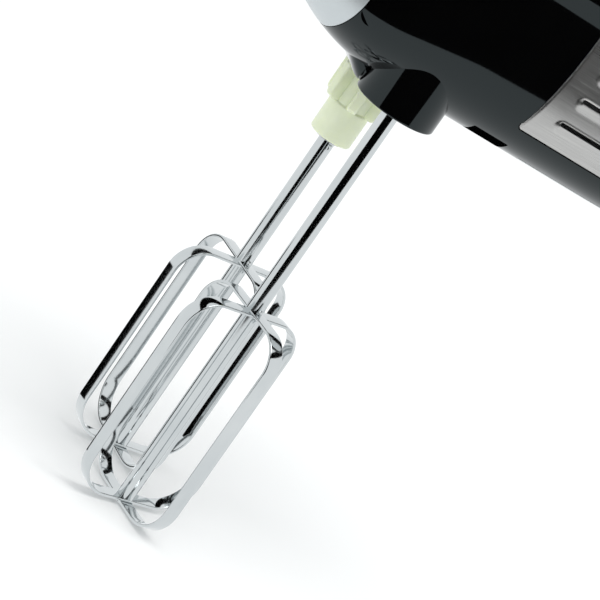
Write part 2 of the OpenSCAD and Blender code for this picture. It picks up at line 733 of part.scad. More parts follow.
// One bent strip: a tall rounded loop that the shaft passes through
corner_top = 11;
corner_low = 13;
module loop_ring(drop, lift) {
    function quarter(cx, cz, r, from) = [for (t = [0:15:90]) [cx + r * cos(from + t), cz + r * sin(from + t)]];
    function outline(g) = let (w = loop_r + strip_t / 2 - g, hi = loop_top - drop - g, lo = -beater_reach + lift + g)
        concat(quarter(w - (corner_top - g), hi - (corner_top - g), corner_top - g, 0),
            quarter(-w + (corner_top - g), hi - (corner_top - g), corner_top - g, 90),
            quarter(-w + (corner_low - g), lo + (corner_low - g), corner_low - g, 180),
            quarter(w - (corner_low - g), lo + (corner_low - g), corner_low - g, 270));
    difference() {
        translate([0, strip_w / 2, 0]) rotate([90, 0, 0]) linear_extrude(strip_w) difference() {
            polygon(outline(0));
            polygon(outline(strip_t));
        }
        translate([0, 0, loop_top - 10]) cylinder(h = 20, r = shaft_r);
        translate([0, 0, -beater_reach - 2]) cylinder(h = 6, r = tenon_r);
    }
}
module outer_loop() loop_ring(0, 0);
module inner_loop() rotate([0, 0, 90]) loop_ring(strip_t, strip_t);

module beater_shaft_left() { color("#d7dadd") at_beater(1, left_phase) beater_shaft(0.5); }
module beater_outer_loop_left() { color("#d7dadd") at_beater(1, left_phase) outer_loop(); }
module beater_inner_loop_left() { color("#d7dadd") at_beater(1, left_phase) inner_loop(); }
module beater_shaft_right() { color("#d7dadd") at_beater(-1, right_phase) beater_shaft(collar_low - 4); }
module beater_outer_loop_right() { color("#d7dadd") at_beater(-1, right_phase) outer_loop(); }
module beater_inner_loop_right() { color("#d7dadd") at_beater(-1, right_phase) inner_loop(); }

// Nylon collar of the right beater: plain below, ribbed above
module beater_collar() {
    color("#dfe3b8") at_beater(-1, right_phase) difference() {
        union() {
            translate([0, 0, collar_low]) cylinder(h = collar_step - collar_low, r = collar_r);
            translate([0, 0, collar_step]) linear_extrude(collar_high - collar_step) {
                circle(collar_r - 0.6);
                for (i = [0:collar_ribs / 2 - 1]) rotate((i + 0.5) * 360 / collar_ribs)
                    square([2 * rib_r, 3.4], center = true);
            }
        }
        translate([0, 0, collar_low - 1]) cylinder(h = 40, r = shaft_r);
    }
}

module collar_washer() {
    color("#9a9da1") at_beater(-1, right_phase) translate([0, 0, collar_low - 0.7]) difference() {
        cylinder(h = 0.7, r = shaft_r + 2.2);
        translate([0, 0, -1]) cylinder(h = 3, r = shaft_r);
    }
}

module speed_selector() {
    color("#c9cccf") placed() translate([selector_x, 0, 0]) {
        translate([-4, -7, top_skin_z + 0.4]) cube([10, 14, 3.6]);
        translate([-2.5, -2.6, handle_top_z + 1]) cube([5, 5.2, top_skin_z - handle_top_z]);
        translate([-4, -5, handle_top_z]) cube([8, 10, 2]);
    }
}

module push_cap(x, size, low, high) translate([x, 0, low])
    linear_extrude(high - low) rounded_plate(size.x, size.y, min(size) / 2 - 1 - seam_gap);

module turbo_button() {
    color("#c9cccf") placed() {
        push_cap(turbo_x, turbo_size, turbo_seat, top_skin_z + 2.2);
        translate([turbo_x, 0, turbo_seat - 3]) cylinder(h = 3, r = 1.4);
    }
}

module turbo_spring() {
    color("#b9bcc0") placed() translate([turbo_x, 0, turbo_seat - 7]) coil_spring(6.8, 2.6, 0.35, 4);
}

module eject_button() {
    color("#c9cccf") placed() difference() {
        push_cap(eject_x, eject_size, eject_seat, top_skin_z + 1);
        translate([eject_x, 0, eject_seat - 1]) cylinder(h = 6, r = rod_r);
    }
}

// Rod, cross bar and two prongs that reach down to the tops of the beater shafts
module ejector_fork() {
    color("#7d8084") placed() {
        translate([eject_x, 0, fork_z + fork_t]) cylinder(h = eject_seat + 5 - fork_z - fork_t, r = rod_r);
        translate([eject_x - 3.5, -half_spacing - 3.5, fork_z]) cube([7, spindle_spacing + 7, fork_t]);
        for (y = [-1, 1]) translate([0, y * half_spacing, shaft_top + 0.3])
            cylinder(h = fork_z - shaft_top - 0.3, r = prong_r);
    }
}

module eject_spring() {
    color("#b9bcc0") placed() translate([eject_x, 0, guide_z + guide_t])
        coil_spring(eject_seat - guide_z - guide_t - 0.1, rod_r + 1.3, 0.5, 6);
}

housing_left();
housing_right();
nose_cover();
side_panel_left();
side_panel_right();
bottom_cover();
heel_pad();
grip_pad();
cord_bush();
housing_screws();
gear_frame();
gear_cover();
spindle_bushes();
stator_core();
field_coils();
front_bearing();
rear_bearing();
motor_bracket();
brush_holders();
carbon_brushes();
brush_springs();
switch_board();
ejector_guide();
motor_shaft();
drive_worm();
armature_core();
armature_windings();
commutator();
cooling_fan();
worm_wheel_left();
spindle_left();
worm_wheel_right();
spindle_right();
beater_shaft_left();
beater_outer_loop_left();
beater_inner_loop_left();
beater_shaft_right();
beater_outer_loop_right();
beater_inner_loop_right();
beater_collar();
collar_washer();
speed_selector();
turbo_button();
turbo_spring();
eject_button();
ejector_fork();
eject_spring();
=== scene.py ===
import math

import bmesh
import bpy
import numpy as np
from mathutils import Matrix, Vector, kdtree


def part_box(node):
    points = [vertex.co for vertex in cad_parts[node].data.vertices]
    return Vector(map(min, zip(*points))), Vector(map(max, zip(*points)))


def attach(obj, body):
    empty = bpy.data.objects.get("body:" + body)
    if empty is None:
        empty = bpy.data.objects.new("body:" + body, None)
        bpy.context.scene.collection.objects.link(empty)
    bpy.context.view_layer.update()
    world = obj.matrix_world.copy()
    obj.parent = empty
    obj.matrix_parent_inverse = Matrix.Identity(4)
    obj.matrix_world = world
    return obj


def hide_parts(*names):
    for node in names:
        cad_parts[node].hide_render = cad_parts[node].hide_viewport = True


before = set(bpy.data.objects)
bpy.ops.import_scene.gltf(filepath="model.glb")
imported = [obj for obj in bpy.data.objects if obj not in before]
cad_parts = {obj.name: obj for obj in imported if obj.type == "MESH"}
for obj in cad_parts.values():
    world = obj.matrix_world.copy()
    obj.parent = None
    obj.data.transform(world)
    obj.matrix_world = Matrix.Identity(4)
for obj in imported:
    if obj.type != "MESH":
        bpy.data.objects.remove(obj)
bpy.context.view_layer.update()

mm = 0.001
scene = bpy.context.scene

# shapes are drawn in millimetres about the beater axes and the plane of the boss rims
spindleLow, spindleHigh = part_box("spindle_left")
axisX = (spindleLow.x + spindleHigh.x) / 2 / mm
axisY = (spindleLow.y + spindleHigh.y) / 2 / mm
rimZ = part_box("housing_left")[0].z / mm
toRow = Matrix.Scale(mm, 4) @ Matrix.Translation((axisX, 0, rimZ))
print("frame loaded, beater axes at", round(axisX, 2), round(axisY, 2), round(rimZ, 2))


# camera and studio

studio = dict(
    turn=18.52, height=16.69, roll=35.0, distance=0.9, target=(0.01769, -0.00013, 0.08521), lens=163.3,
    skyColour=(0.97, 0.99, 1.0), skyStrength=0.98, boxPower=9.0, boxSize=1.1, boxPlace=(-0.15, 0.35, 1.5),
    floorColour=(0.93, 0.93, 0.925), floorSize=8.0,
    flagLine=0.2873, flagSlope=0.72, flagTop=0.268, flagFrom=0.192, flagTo=-0.95,
    stripFlag=(0.318, -0.226), stripFlagHalf=0.07, stripFlagLow=-0.16, stripFlagHigh=-0.004,
    bandRadius=1.2, bandLow=0.95, bandHigh=1.45,
)


def setCamera(s):
    turn, height, roll = (math.radians(s[k]) for k in ("turn", "height", "roll"))
    back = Vector((math.sin(turn) * math.cos(height), math.cos(turn) * math.cos(height), math.sin(height)))
    right = (-back).cross(Vector((0, 0, 1))).normalized()
    up = right.cross(-back)
    across = right * math.cos(roll) + up * math.sin(roll)
    upright = up * math.cos(roll) - right * math.sin(roll)
    data = bpy.data.cameras.new("studioCamera")
    data.lens = s["lens"]
    data.sensor_width = 36
    data.clip_start = 0.05
    data.clip_end = 30
    camera = bpy.data.objects.new("studioCamera", data)
    place = Vector(s["target"]) + back * s["distance"]
    camera.matrix_world = Matrix((
        (across.x, upright.x, back.x, place.x),
        (across.y, upright.y, back.y, place.y),
        (across.z, upright.z, back.z, place.z),
        (0, 0, 0, 1)))
    scene.collection.objects.link(camera)
    scene.camera = camera


def plainSheet(name, corners, material):
    mesh = bpy.data.meshes.new(name)
    mesh.from_pydata(corners, [], [(0, 1, 2, 3)])
    mesh.materials.append(material)
    sheet = bpy.data.objects.new(name, mesh)
    scene.collection.objects.link(sheet)
    return sheet


def setStudio(s):
    world = bpy.data.worlds.new("lightTent")
    world.use_nodes = True
    world.node_tree.nodes["Background"].inputs["Color"].default_value = (*s["skyColour"], 1)
    world.node_tree.nodes["Background"].inputs["Strength"].default_value = s["skyStrength"]
    scene.world = world
    lamp = bpy.data.lights.new("softBox", "AREA")
    lamp.shape = "DISK"
    lamp.size = s["boxSize"]
    lamp.energy = s["boxPower"]
    box = bpy.data.objects.new("softBox", lamp)
    box.location = s["boxPlace"]
    box.rotation_euler = (Vector((0, 0, 0)) - box.location).to_track_quat("-Z", "Y").to_euler()
    scene.collection.objects.link(box)

    h = s["floorSize"] / 2
    corners = [(-h, -h, 0), (h, -h, 0), (h, h, 0), (-h, h, 0)]
    floor = plainSheet("studioFloor", corners, paleFloor(s["floorColour"]))
    floor.visible_glossy = False

    # black flags seen only in reflections, as beside a light tent
    cloth = blackFlagCloth()
    x0, x1 = s["flagFrom"], s["flagTo"]
    y0, y1 = (s["flagLine"] - s["flagSlope"] * x for x in (x0, x1))
    flags = [plainSheet("bodyFlag", [(x0, y0, 0.001), (x1, y1, 0.001), (x1, y1, s["flagTop"]),
                                     (x0, y0, s["flagTop"])], cloth)]
    cx, cy = s["stripFlag"]
    away = Vector((cx - 0.036, cy, 0)).normalized() * s["stripFlagHalf"]
    flags.append(plainSheet("stripFlag", [
        (cx - away.y, cy + away.x, s["stripFlagLow"]), (cx + away.y, cy - away.x, s["stripFlagLow"]),
        (cx + away.y, cy - away.x, s["stripFlagHigh"]), (cx - away.y, cy + away.x, s["stripFlagHigh"])],
                            cloth))
    around = [(math.cos(a) * s["bandRadius"], math.sin(a) * s["bandRadius"])
              for a in np.linspace(0, 2 * math.pi, 49)]
    for i in range(48):
        (xa, ya), (xb, yb) = around[i], around[i + 1]
        flags.append(plainSheet("bandFlag" + str(i), [(xa, ya, s["bandLow"]), (xb, yb, s["bandLow"]),
                                                      (xb, yb, s["bandHigh"]), (xa, ya, s["bandHigh"])],
                                cloth))
    for flag in flags:
        flag.visible_camera = False
        flag.visible_diffuse = False
        flag.visible_shadow = False
        flag.visible_transmission = False
    scene.view_settings.view_transform = "Standard"


def nodesOf(name):
    material = bpy.data.materials.new(name)
    material.use_nodes = True
    return material, material.node_tree, material.node_tree.nodes["Principled BSDF"]


def noiseOn(tree, stretch, scale, detail=4.0, rough=0.55, source="Object"):
    coords = tree.nodes.new("ShaderNodeTexCoord")
    mapping = tree.nodes.new("ShaderNodeMapping")
    mapping.inputs["Scale"].default_value = stretch
    noise = tree.nodes.new("ShaderNodeTexNoise")
    noise.inputs["Scale"].default_value = scale
    noise.inputs["Detail"].default_value = detail
    noise.inputs["Roughness"].default_value = rough
    tree.links.new(coords.outputs[source], mapping.inputs["Vector"])
    tree.links.new(mapping.outputs["Vector"], noise.inputs["Vector"])
    return noise, mapping


def rangeOf(tree, value, low, high, fromLow=0.3, fromHigh=0.7):
    node = tree.nodes.new("ShaderNodeMapRange")
    node.inputs["From Min"].default_value = fromLow
    node.inputs["From Max"].default_value = fromHigh
    node.inputs["To Min"].default_value = low
    node.inputs["To Max"].default_value = high
    tree.links.new(value, node.inputs["Value"])
    return node.outputs["Result"]


def tinted(tree, value, dark, light):
    ramp = tree.nodes.new("ShaderNodeValToRGB")
    ramp.color_ramp.elements[0].position = 0.3
    ramp.color_ramp.elements[1].position = 0.7
    ramp.color_ramp.elements[0].color = (*dark, 1)
    ramp.color_ramp.elements[1].color = (*light, 1)
    tree.links.new(value, ramp.inputs["Fac"])
    return ramp.outputs["Color"]


def bumped(tree, shader, height, strength, distance, under=None):
    bump = tree.nodes.new("ShaderNodeBump")
    bump.inputs["Strength"].default_value = strength
    bump.inputs["Distance"].default_value = distance
    tree.links.new(height, bump.inputs["Height"])
    if under is not None:
        tree.links.new(under, bump.inputs["Normal"])
    tree.links.new(bump.outputs["Normal"], shader.inputs["Normal"])
    return bump.outputs["Normal"]


def madeFinish(name, dark, light, rough, metal=0.0, patch=45.0, grain=1400.0, stretch=(1, 1, 1),
               grainStretch=None,
               bump=0.1, depth=0.00005, ior=1.5, coat=0.0, subsurface=0.0, sheen=0.0, tint=(1, 1, 1)):
    material, tree, shader = nodesOf(name)
    patches, _ = noiseOn(tree, stretch, patch, 5.0)
    tree.links.new(tinted(tree, patches.outputs["Fac"], dark, light), shader.inputs["Base Color"])
    grains, _ = noiseOn(tree, grainStretch or stretch, grain, 3.0)
    mixer = tree.nodes.new("ShaderNodeMath")
    mixer.operation = "ADD"
    tree.links.new(patches.outputs["Fac"], mixer.inputs[0])
    tree.links.new(grains.outputs["Fac"], mixer.inputs[1])
    tree.links.new(rangeOf(tree, mixer.outputs["Value"], rough[0], rough[1], 0.7, 1.3),
                   shader.inputs["Roughness"])
    bumped(tree, shader, grains.outputs["Fac"], bump, depth)
    shader.inputs["Metallic"].default_value = metal
    shader.inputs["IOR"].default_value = ior
    shader.inputs["Specular Tint"].default_value = (*tint, 1)
    shader.inputs["Coat Weight"].default_value = coat
    shader.inputs["Coat Roughness"].default_value = 0.08
    if subsurface:
        shader.inputs["Subsurface Weight"].default_value = subsurface
        shader.inputs["Subsurface Radius"].default_value = (0.004, 0.004, 0.002)
        shader.inputs["Subsurface Scale"].default_value = 1.0
    if sheen:
        shader.inputs["Sheen Weight"].default_value = sheen
    return material


def banded(name, dark, light, rough, metal, pitch, direction, bump=0.5, depth=0.0002):
    material, tree, shader = nodesOf(name)
    coords = tree.nodes.new("ShaderNodeTexCoord")
    wave = tree.nodes.new("ShaderNodeTexWave")
    wave.bands_direction = direction
    wave.inputs["Scale"].default_value = 0.314 / pitch
    wave.inputs["Distortion"].default_value = 0.6
    wave.inputs["Detail"].default_value = 2.0
    tree.links.new(coords.outputs["Object"], wave.inputs["Vector"])
    tree.links.new(tinted(tree, wave.outputs["Fac"], dark, light), shader.inputs["Base Color"])
    tree.links.new(rangeOf(tree, wave.outputs["Fac"], rough[0], rough[1]), shader.inputs["Roughness"])
    bumped(tree, shader, wave.outputs["Fac"], bump, depth)
    shader.inputs["Metallic"].default_value = metal
    return material


def dimpled(name, dark, light, rough, pitch, depth=0.00025):
    material, tree, shader = nodesOf(name)
    coords = tree.nodes.new("ShaderNodeTexCoord")
    cells = tree.nodes.new("ShaderNodeTexVoronoi")
    cells.inputs["Scale"].default_value = 1 / pitch
    tree.links.new(coords.outputs["Object"], cells.inputs["Vector"])
    patches, _ = noiseOn(tree, (1, 1, 1), 90.0)
    tree.links.new(tinted(tree, patches.outputs["Fac"], dark, light), shader.inputs["Base Color"])
    tree.links.new(rangeOf(tree, cells.outputs["Distance"], rough[0], rough[1], 0.0, 0.7),
                   shader.inputs["Roughness"])
    bumped(tree, shader, cells.outputs["Distance"], 0.35, depth)
    shader.inputs["Sheen Weight"].default_value = 0.15
    return material


def paleFloor(colour):
    return madeFinish("paleFloor", tuple(0.985 * c for c in colour), colour, (0.85, 0.95), patch=3.0,
                      grain=60.0,
                      bump=0.01, depth=0.0005, ior=1.1)


def blackFlagCloth():
    return madeFinish("blackFlagCloth", (0.0015, 0.0015, 0.0015), (0.002, 0.002, 0.002), (0.95, 1.0),
                      patch=8.0,
                      bump=0.0, ior=1.01)


def brushedSheet(name):
    material, tree, shader = nodesOf(name)
    streaks, _ = noiseOn(tree, (6, 420, 420), 9.0, 6.0, 0.7)
    clouds, _ = noiseOn(tree, (1, 1, 1), 40.0, 3.0)
    tree.links.new(tinted(tree, streaks.outputs["Fac"], (0.44, 0.436, 0.426), (0.61, 0.604, 0.592)),
                   shader.inputs["Base Color"])
    added = tree.nodes.new("ShaderNodeMath")
    added.operation = "ADD"
    tree.links.new(streaks.outputs["Fac"], added.inputs[0])
    tree.links.new(clouds.outputs["Fac"], added.inputs[1])
    tree.links.new(rangeOf(tree, added.outputs["Value"], 0.24, 0.42, 0.7, 1.3), shader.inputs["Roughness"])
    bumped(tree, shader, streaks.outputs["Fac"], 0.12, 0.00004)
    shader.inputs["Metallic"].default_value = 1.0
    return material


def chromePlate(name, stretch):
    material, tree, shader = nodesOf(name)
    lines, _ = noiseOn(tree, stretch, 30.0, 5.0, 0.6)
    smears, _ = noiseOn(tree, (1, 1, 1), 55.0, 3.0)
    tree.links.new(tinted(tree, smears.outputs["Fac"], (0.60, 0.63, 0.64), (0.67, 0.695, 0.70)),
                   shader.inputs["Base Color"])
    tree.links.new(rangeOf(tree, lines.outputs["Fac"], 0.035, 0.13), shader.inputs["Roughness"])
    bumped(tree, shader, lines.outputs["Fac"], 0.03, 0.00002)
    shader.inputs["Metallic"].default_value = 1.0
    return material


finishes = dict(
    blackGloss=madeFinish("blackGloss", (0.0008, 0.0008, 0.0009), (0.0013, 0.0013, 0.0014), (0.03, 0.075),
                          patch=26.0,
                          grain=900.0, bump=0.015, depth=0.00002, ior=1.49, tint=(0.82, 0.97, 1.0)),
    silverSatin=madeFinish("silverSatin", (0.565, 0.605, 0.62), (0.605, 0.645, 0.66), (0.28, 0.38), metal=0.7,
                           patch=30.0, grain=5200.0, bump=0.06, depth=0.00002),
    brushedSteel=brushedSheet("brushedSteel"),
    lightGrey=madeFinish("lightGrey", (0.58, 0.60, 0.61), (0.63, 0.65, 0.66), (0.34, 0.46), patch=60.0,
                         grain=3800.0,
                         bump=0.08, depth=0.00003),
    rubberBlack=dimpled("rubberBlack", (0.012, 0.012, 0.013), (0.020, 0.020, 0.021), (0.55, 0.8), 0.0009),
    rubberGrey=dimpled("rubberGrey", (0.030, 0.031, 0.033), (0.042, 0.043, 0.045), (0.5, 0.78), 0.0008),
    zincSteel=madeFinish("zincSteel", (0.42, 0.43, 0.44), (0.55, 0.56, 0.57), (0.25, 0.45), metal=1.0,
                         patch=260.0,
                         grain=2600.0, bump=0.12),
    greyNylon=madeFinish("greyNylon", (0.16, 0.165, 0.17), (0.20, 0.205, 0.21), (0.45, 0.62), patch=90.0,
                         grain=2400.0,
                         bump=0.1, subsurface=0.02),
    whiteNylon=madeFinish("whiteNylon", (0.74, 0.73, 0.68), (0.80, 0.79, 0.74), (0.38, 0.52), patch=80.0,
                          grain=2600.0,
                          bump=0.08, subsurface=0.1),
    creamNylon=madeFinish("creamNylon", (0.74, 0.80, 0.58), (0.83, 0.885, 0.67), (0.28, 0.42), patch=120.0,
                          grain=1900.0, bump=0.06, subsurface=0.22),
    bronze=madeFinish("bronze", (0.36, 0.21, 0.09), (0.46, 0.28, 0.13), (0.35, 0.55), metal=1.0, patch=420.0,
                      grain=3200.0, bump=0.25),
    lamination=banded("lamination", (0.22, 0.22, 0.23), (0.40, 0.40, 0.41), (0.35, 0.5), 1.0, 0.0005, "X"),
    copper=banded("copper", (0.42, 0.14, 0.05), (0.72, 0.30, 0.12), (0.22, 0.36), 1.0, 0.0004, "X", 0.7),
    carbon=madeFinish("carbon", (0.02, 0.02, 0.021), (0.035, 0.035, 0.036), (0.4, 0.6), patch=300.0,
                      grain=2600.0),
    boardGreen=madeFinish("boardGreen", (0.03, 0.11, 0.05), (0.05, 0.16, 0.08), (0.3, 0.42), patch=160.0,
                          coat=0.3),
    chromeRod=chromePlate("chromeRod", (1, 1, 0.06)),
    chromeStrip=chromePlate("chromeStrip", (1, 1, 0.15)),
)

print("finishes made:", len(finishes))


# mesh helpers

def solid(name, points, faces, weld=True):
    mesh = bpy.data.meshes.new(name)
    mesh.from_pydata(np.asarray(points, float).tolist(), [], [tuple(int(i) for i in f) for f in faces])
    b = bmesh.new()
    b.from_mesh(mesh)
    if weld:
        bmesh.ops.remove_doubles(b, verts=b.verts, dist=1e-4)
    bmesh.ops.recalc_face_normals(b, faces=b.faces)
    b.to_mesh(mesh)
    b.free()
    piece = bpy.data.objects.new(name, mesh)
    scene.collection.objects.link(piece)
    return piece


def ringFaces(rings, around):
    i, j = np.meshgrid(np.arange(rings - 1), np.arange(around), indexing="ij")
    k = (j + 1) % around
    return np.stack([i * around + j, i * around + k, (i + 1) * around + k, (i + 1) * around + j],
                    -1).reshape(-1, 4)


def lofted(name, rings):
    rings = np.asarray(rings, float)
    count, around = rings.shape[:2]
    last = (count - 1) * around
    faces = ringFaces(count, around).tolist() + [list(range(around)), list(range(last, last + around))]
    return solid(name, rings.reshape(-1, 3), faces)


def turned(name, profile, centre=(0, 0, 0), along="Z", segments=96, closed=False):
    angles = np.linspace(0, 2 * math.pi, segments, endpoint=False)
    rings = []
    for r, h in list(profile) + ([profile[0]] if closed else []):
        a, b = r * np.cos(angles), r * np.sin(angles)
        flat = np.full_like(a, h)
        rings.append(np.stack([a, b, flat] if along == "Z" else [flat, a, b] if along == "X"
                              else [b, flat, a], -1))
    rings = np.asarray(rings) + np.asarray(centre, float)
    faces = ringFaces(len(rings), segments).tolist()
    return solid(name, rings.reshape(-1, 3), faces)


def softCorners(points, radii, steps=5, closed=True):
    points = [np.asarray(p, float) for p in points]
    radii = [radii] * len(points) if np.isscalar(radii) else radii
    out = []
    for i, p in enumerate(points):
        r = radii[i]
        if r <= 0 or (not closed and i in (0, len(points) - 1)):
            out.append(p)
            continue
        a, b = points[i - 1] - p, points[(i + 1) % len(points)] - p
        cut = min(r, 0.49 * np.linalg.norm(a), 0.49 * np.linalg.norm(b))
        start, end = p + a / np.linalg.norm(a) * cut, p + b / np.linalg.norm(b) * cut
        for t in np.linspace(0, 1, steps + 1):
            out.append((1 - t) ** 2 * start + 2 * t * (1 - t) * p + t * t * end)
    return out


def prism(name, outline, low, high, across="Y"):
    outline = np.asarray(outline, float)
    rings = []
    for h in (low, high):
        flat = np.full(len(outline), float(h))
        a, b = outline[:, 0], outline[:, 1]
        rings.append(np.stack([a, flat, b] if across == "Y" else [a, b, flat] if across == "Z"
                              else [flat, a, b], -1))
    return lofted(name, rings)


def block(name, low, high):
    (x0, y0, z0), (x1, y1, z1) = low, high
    return prism(name, [(x0, z0), (x1, z0), (x1, z1), (x0, z1)], y0, y1)


def roundedRectangle(w, h, r, cx=0.0, cy=0.0, steps=8):
    out = []
    for sx, sy, start in ((1, 1, 0), (-1, 1, 90), (-1, -1, 180), (1, -1, 270)):
        for t in np.radians(np.linspace(start, start + 90, steps + 1)):
            out.append((cx + sx * (w / 2 - r) + r * math.cos(t), cy + sy * (h / 2 - r) + r * math.sin(t)))
    return out


def evaluated(piece):
    graph = bpy.context.evaluated_depsgraph_get()
    return bpy.data.meshes.new_from_object(piece.evaluated_get(graph))


def drop(piece):
    bpy.data.objects.remove(piece)


def settle(piece):
    mesh = evaluated(piece)
    piece.modifiers.clear()
    old = piece.data
    piece.data = mesh
    bpy.data.meshes.remove(old)
    return piece


def carve(piece, tool, operation="DIFFERENCE", keepTool=False):
    before = len(piece.data.polygons)
    modifier = piece.modifiers.new("carve", "BOOLEAN")
    modifier.operation = operation
    modifier.solver = "MANIFOLD"
    modifier.object = tool
    settle(piece)
    if len(piece.data.polygons) == 0:
        print("empty after", operation, piece.name, tool.name)
    if len(piece.data.polygons) == before:
        print("unchanged by", operation, piece.name, tool.name)
    if not keepTool:
        drop(tool)
    return piece


def twin(piece, name):
    copy = bpy.data.objects.new(name, piece.data.copy())
    scene.collection.objects.link(copy)
    return copy


def mirrored(piece, name):
    copy = twin(piece, name)
    copy.data.transform(Matrix.Scale(-1, 4, (0, 1, 0)))
    copy.data.flip_normals()
    return copy


def rounded(piece, width, segments=3, angle=40):
    modifier = piece.modifiers.new("edge", "BEVEL")
    modifier.width = width
    modifier.segments = segments
    modifier.limit_method = "ANGLE"
    modifier.angle_limit = math.radians(angle)
    modifier.harden_normals = False
    return settle(piece)


def finished(piece, finish, body, replaced=(), sharp=35, inRow=False):
    if not inRow:
        piece.data.transform(toRow)
    piece.data.materials.clear()
    piece.data.materials.append(finishes[finish])
    piece.data.polygons.foreach_set("material_index", np.zeros(len(piece.data.polygons), np.int32))
    piece.data.polygons.foreach_set("use_smooth", np.ones(len(piece.data.polygons), bool))
    piece.data.set_sharp_from_angle(angle=math.radians(sharp))
    piece.data.update()
    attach(piece, body)
    if replaced:
        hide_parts(*replaced)
    return piece


# node trees for what repeats or follows a path

def newTree(name, inputs):
    tree = bpy.data.node_groups.new(name, "GeometryNodeTree")
    tree.interface.new_socket("Geometry", in_out="INPUT", socket_type="NodeSocketGeometry")
    for label, kind, value in inputs:
        socket = tree.interface.new_socket(label, in_out="INPUT", socket_type="NodeSocket" + kind)
        if value is not None:
            socket.default_value = value
    tree.interface.new_socket("Geometry", in_out="OUTPUT", socket_type="NodeSocketGeometry")
    return tree, tree.nodes.new("NodeGroupInput"), tree.nodes.new("NodeGroupOutput")


def endTree(tree, source, groupIn, groupOut):
    realize = tree.nodes.new("GeometryNodeRealizeInstances")
    paint = tree.nodes.new("GeometryNodeSetMaterial")
    tree.links.new(source, realize.inputs["Geometry"])
    tree.links.new(realize.outputs["Geometry"], paint.inputs["Geometry"])
    tree.links.new(groupIn.outputs["Finish"], paint.inputs["Material"])
    tree.links.new(paint.outputs["Geometry"], groupOut.inputs["Geometry"])


def mathNode(tree, operation, a, b):
    node = tree.nodes.new("ShaderNodeMath")
    node.operation = operation
    for socket, value in zip(node.inputs, (a, b)):
        if isinstance(value, (int, float)):
            socket.default_value = value
        else:
            tree.links.new(value, socket)
    return node.outputs["Value"]


def makeScatterTree():
    tree, gi, go = newTree("setOnPoints", [("Piece", "Object", None), ("Finish", "Material", None)])
    info = tree.nodes.new("GeometryNodeObjectInfo")
    place = tree.nodes.new("GeometryNodeInstanceOnPoints")
    tree.links.new(gi.outputs["Piece"], info.inputs["Object"])
    tree.links.new(gi.outputs["Geometry"], place.inputs["Points"])
    tree.links.new(info.outputs["Geometry"], place.inputs["Instance"])
    endTree(tree, place.outputs["Instances"], gi, go)
    return tree


def makeRowTree():
    tree, gi, go = newTree("rowOfPieces", [("Piece", "Object", None), ("Count", "Int", 5),
                                           ("Step", "Vector", (1, 0, 0)), ("Finish", "Material", None)])
    info = tree.nodes.new("GeometryNodeObjectInfo")
    points = tree.nodes.new("GeometryNodePoints")
    index = tree.nodes.new("GeometryNodeInputIndex")
    scale = tree.nodes.new("ShaderNodeVectorMath")
    scale.operation = "SCALE"
    place = tree.nodes.new("GeometryNodeInstanceOnPoints")
    tree.links.new(gi.outputs["Step"], scale.inputs[0])
    tree.links.new(index.outputs["Index"], scale.inputs["Scale"])
    tree.links.new(gi.outputs["Count"], points.inputs["Count"])
    tree.links.new(scale.outputs["Vector"], points.inputs["Position"])
    tree.links.new(gi.outputs["Piece"], info.inputs["Object"])
    tree.links.new(points.outputs[0], place.inputs["Points"])
    tree.links.new(info.outputs["Geometry"], place.inputs["Instance"])
    endTree(tree, place.outputs["Instances"], gi, go)
    return tree


def makeRingTree():
    tree, gi, go = newTree("ringOfPieces", [("Piece", "Object", None), ("Count", "Int", 6),
                                            ("Centre", "Vector", (0, 0, 0)), ("First Angle", "Float", 0.0),
                                            ("Finish", "Material", None)])
    info = tree.nodes.new("GeometryNodeObjectInfo")
    points = tree.nodes.new("GeometryNodePoints")
    index = tree.nodes.new("GeometryNodeInputIndex")
    place = tree.nodes.new("GeometryNodeInstanceOnPoints")
    turn = tree.nodes.new("GeometryNodeRotateInstances")
    turn.inputs["Local Space"].default_value = False
    angles = tree.nodes.new("ShaderNodeCombineXYZ")
    step = mathNode(tree, "DIVIDE", 2 * math.pi, gi.outputs["Count"])
    angle = mathNode(tree, "ADD", mathNode(tree, "MULTIPLY", index.outputs["Index"], step),
                     gi.outputs["First Angle"])
    tree.links.new(angle, angles.inputs["Z"])
    tree.links.new(gi.outputs["Count"], points.inputs["Count"])
    tree.links.new(gi.outputs["Piece"], info.inputs["Object"])
    tree.links.new(points.outputs[0], place.inputs["Points"])
    tree.links.new(info.outputs["Geometry"], place.inputs["Instance"])
    tree.links.new(place.outputs["Instances"], turn.inputs["Instances"])
    tree.links.new(angles.outputs["Vector"], turn.inputs["Rotation"])
    tree.links.new(gi.outputs["Centre"], turn.inputs["Pivot Point"])
    endTree(tree, turn.outputs["Instances"], gi, go)
    return tree


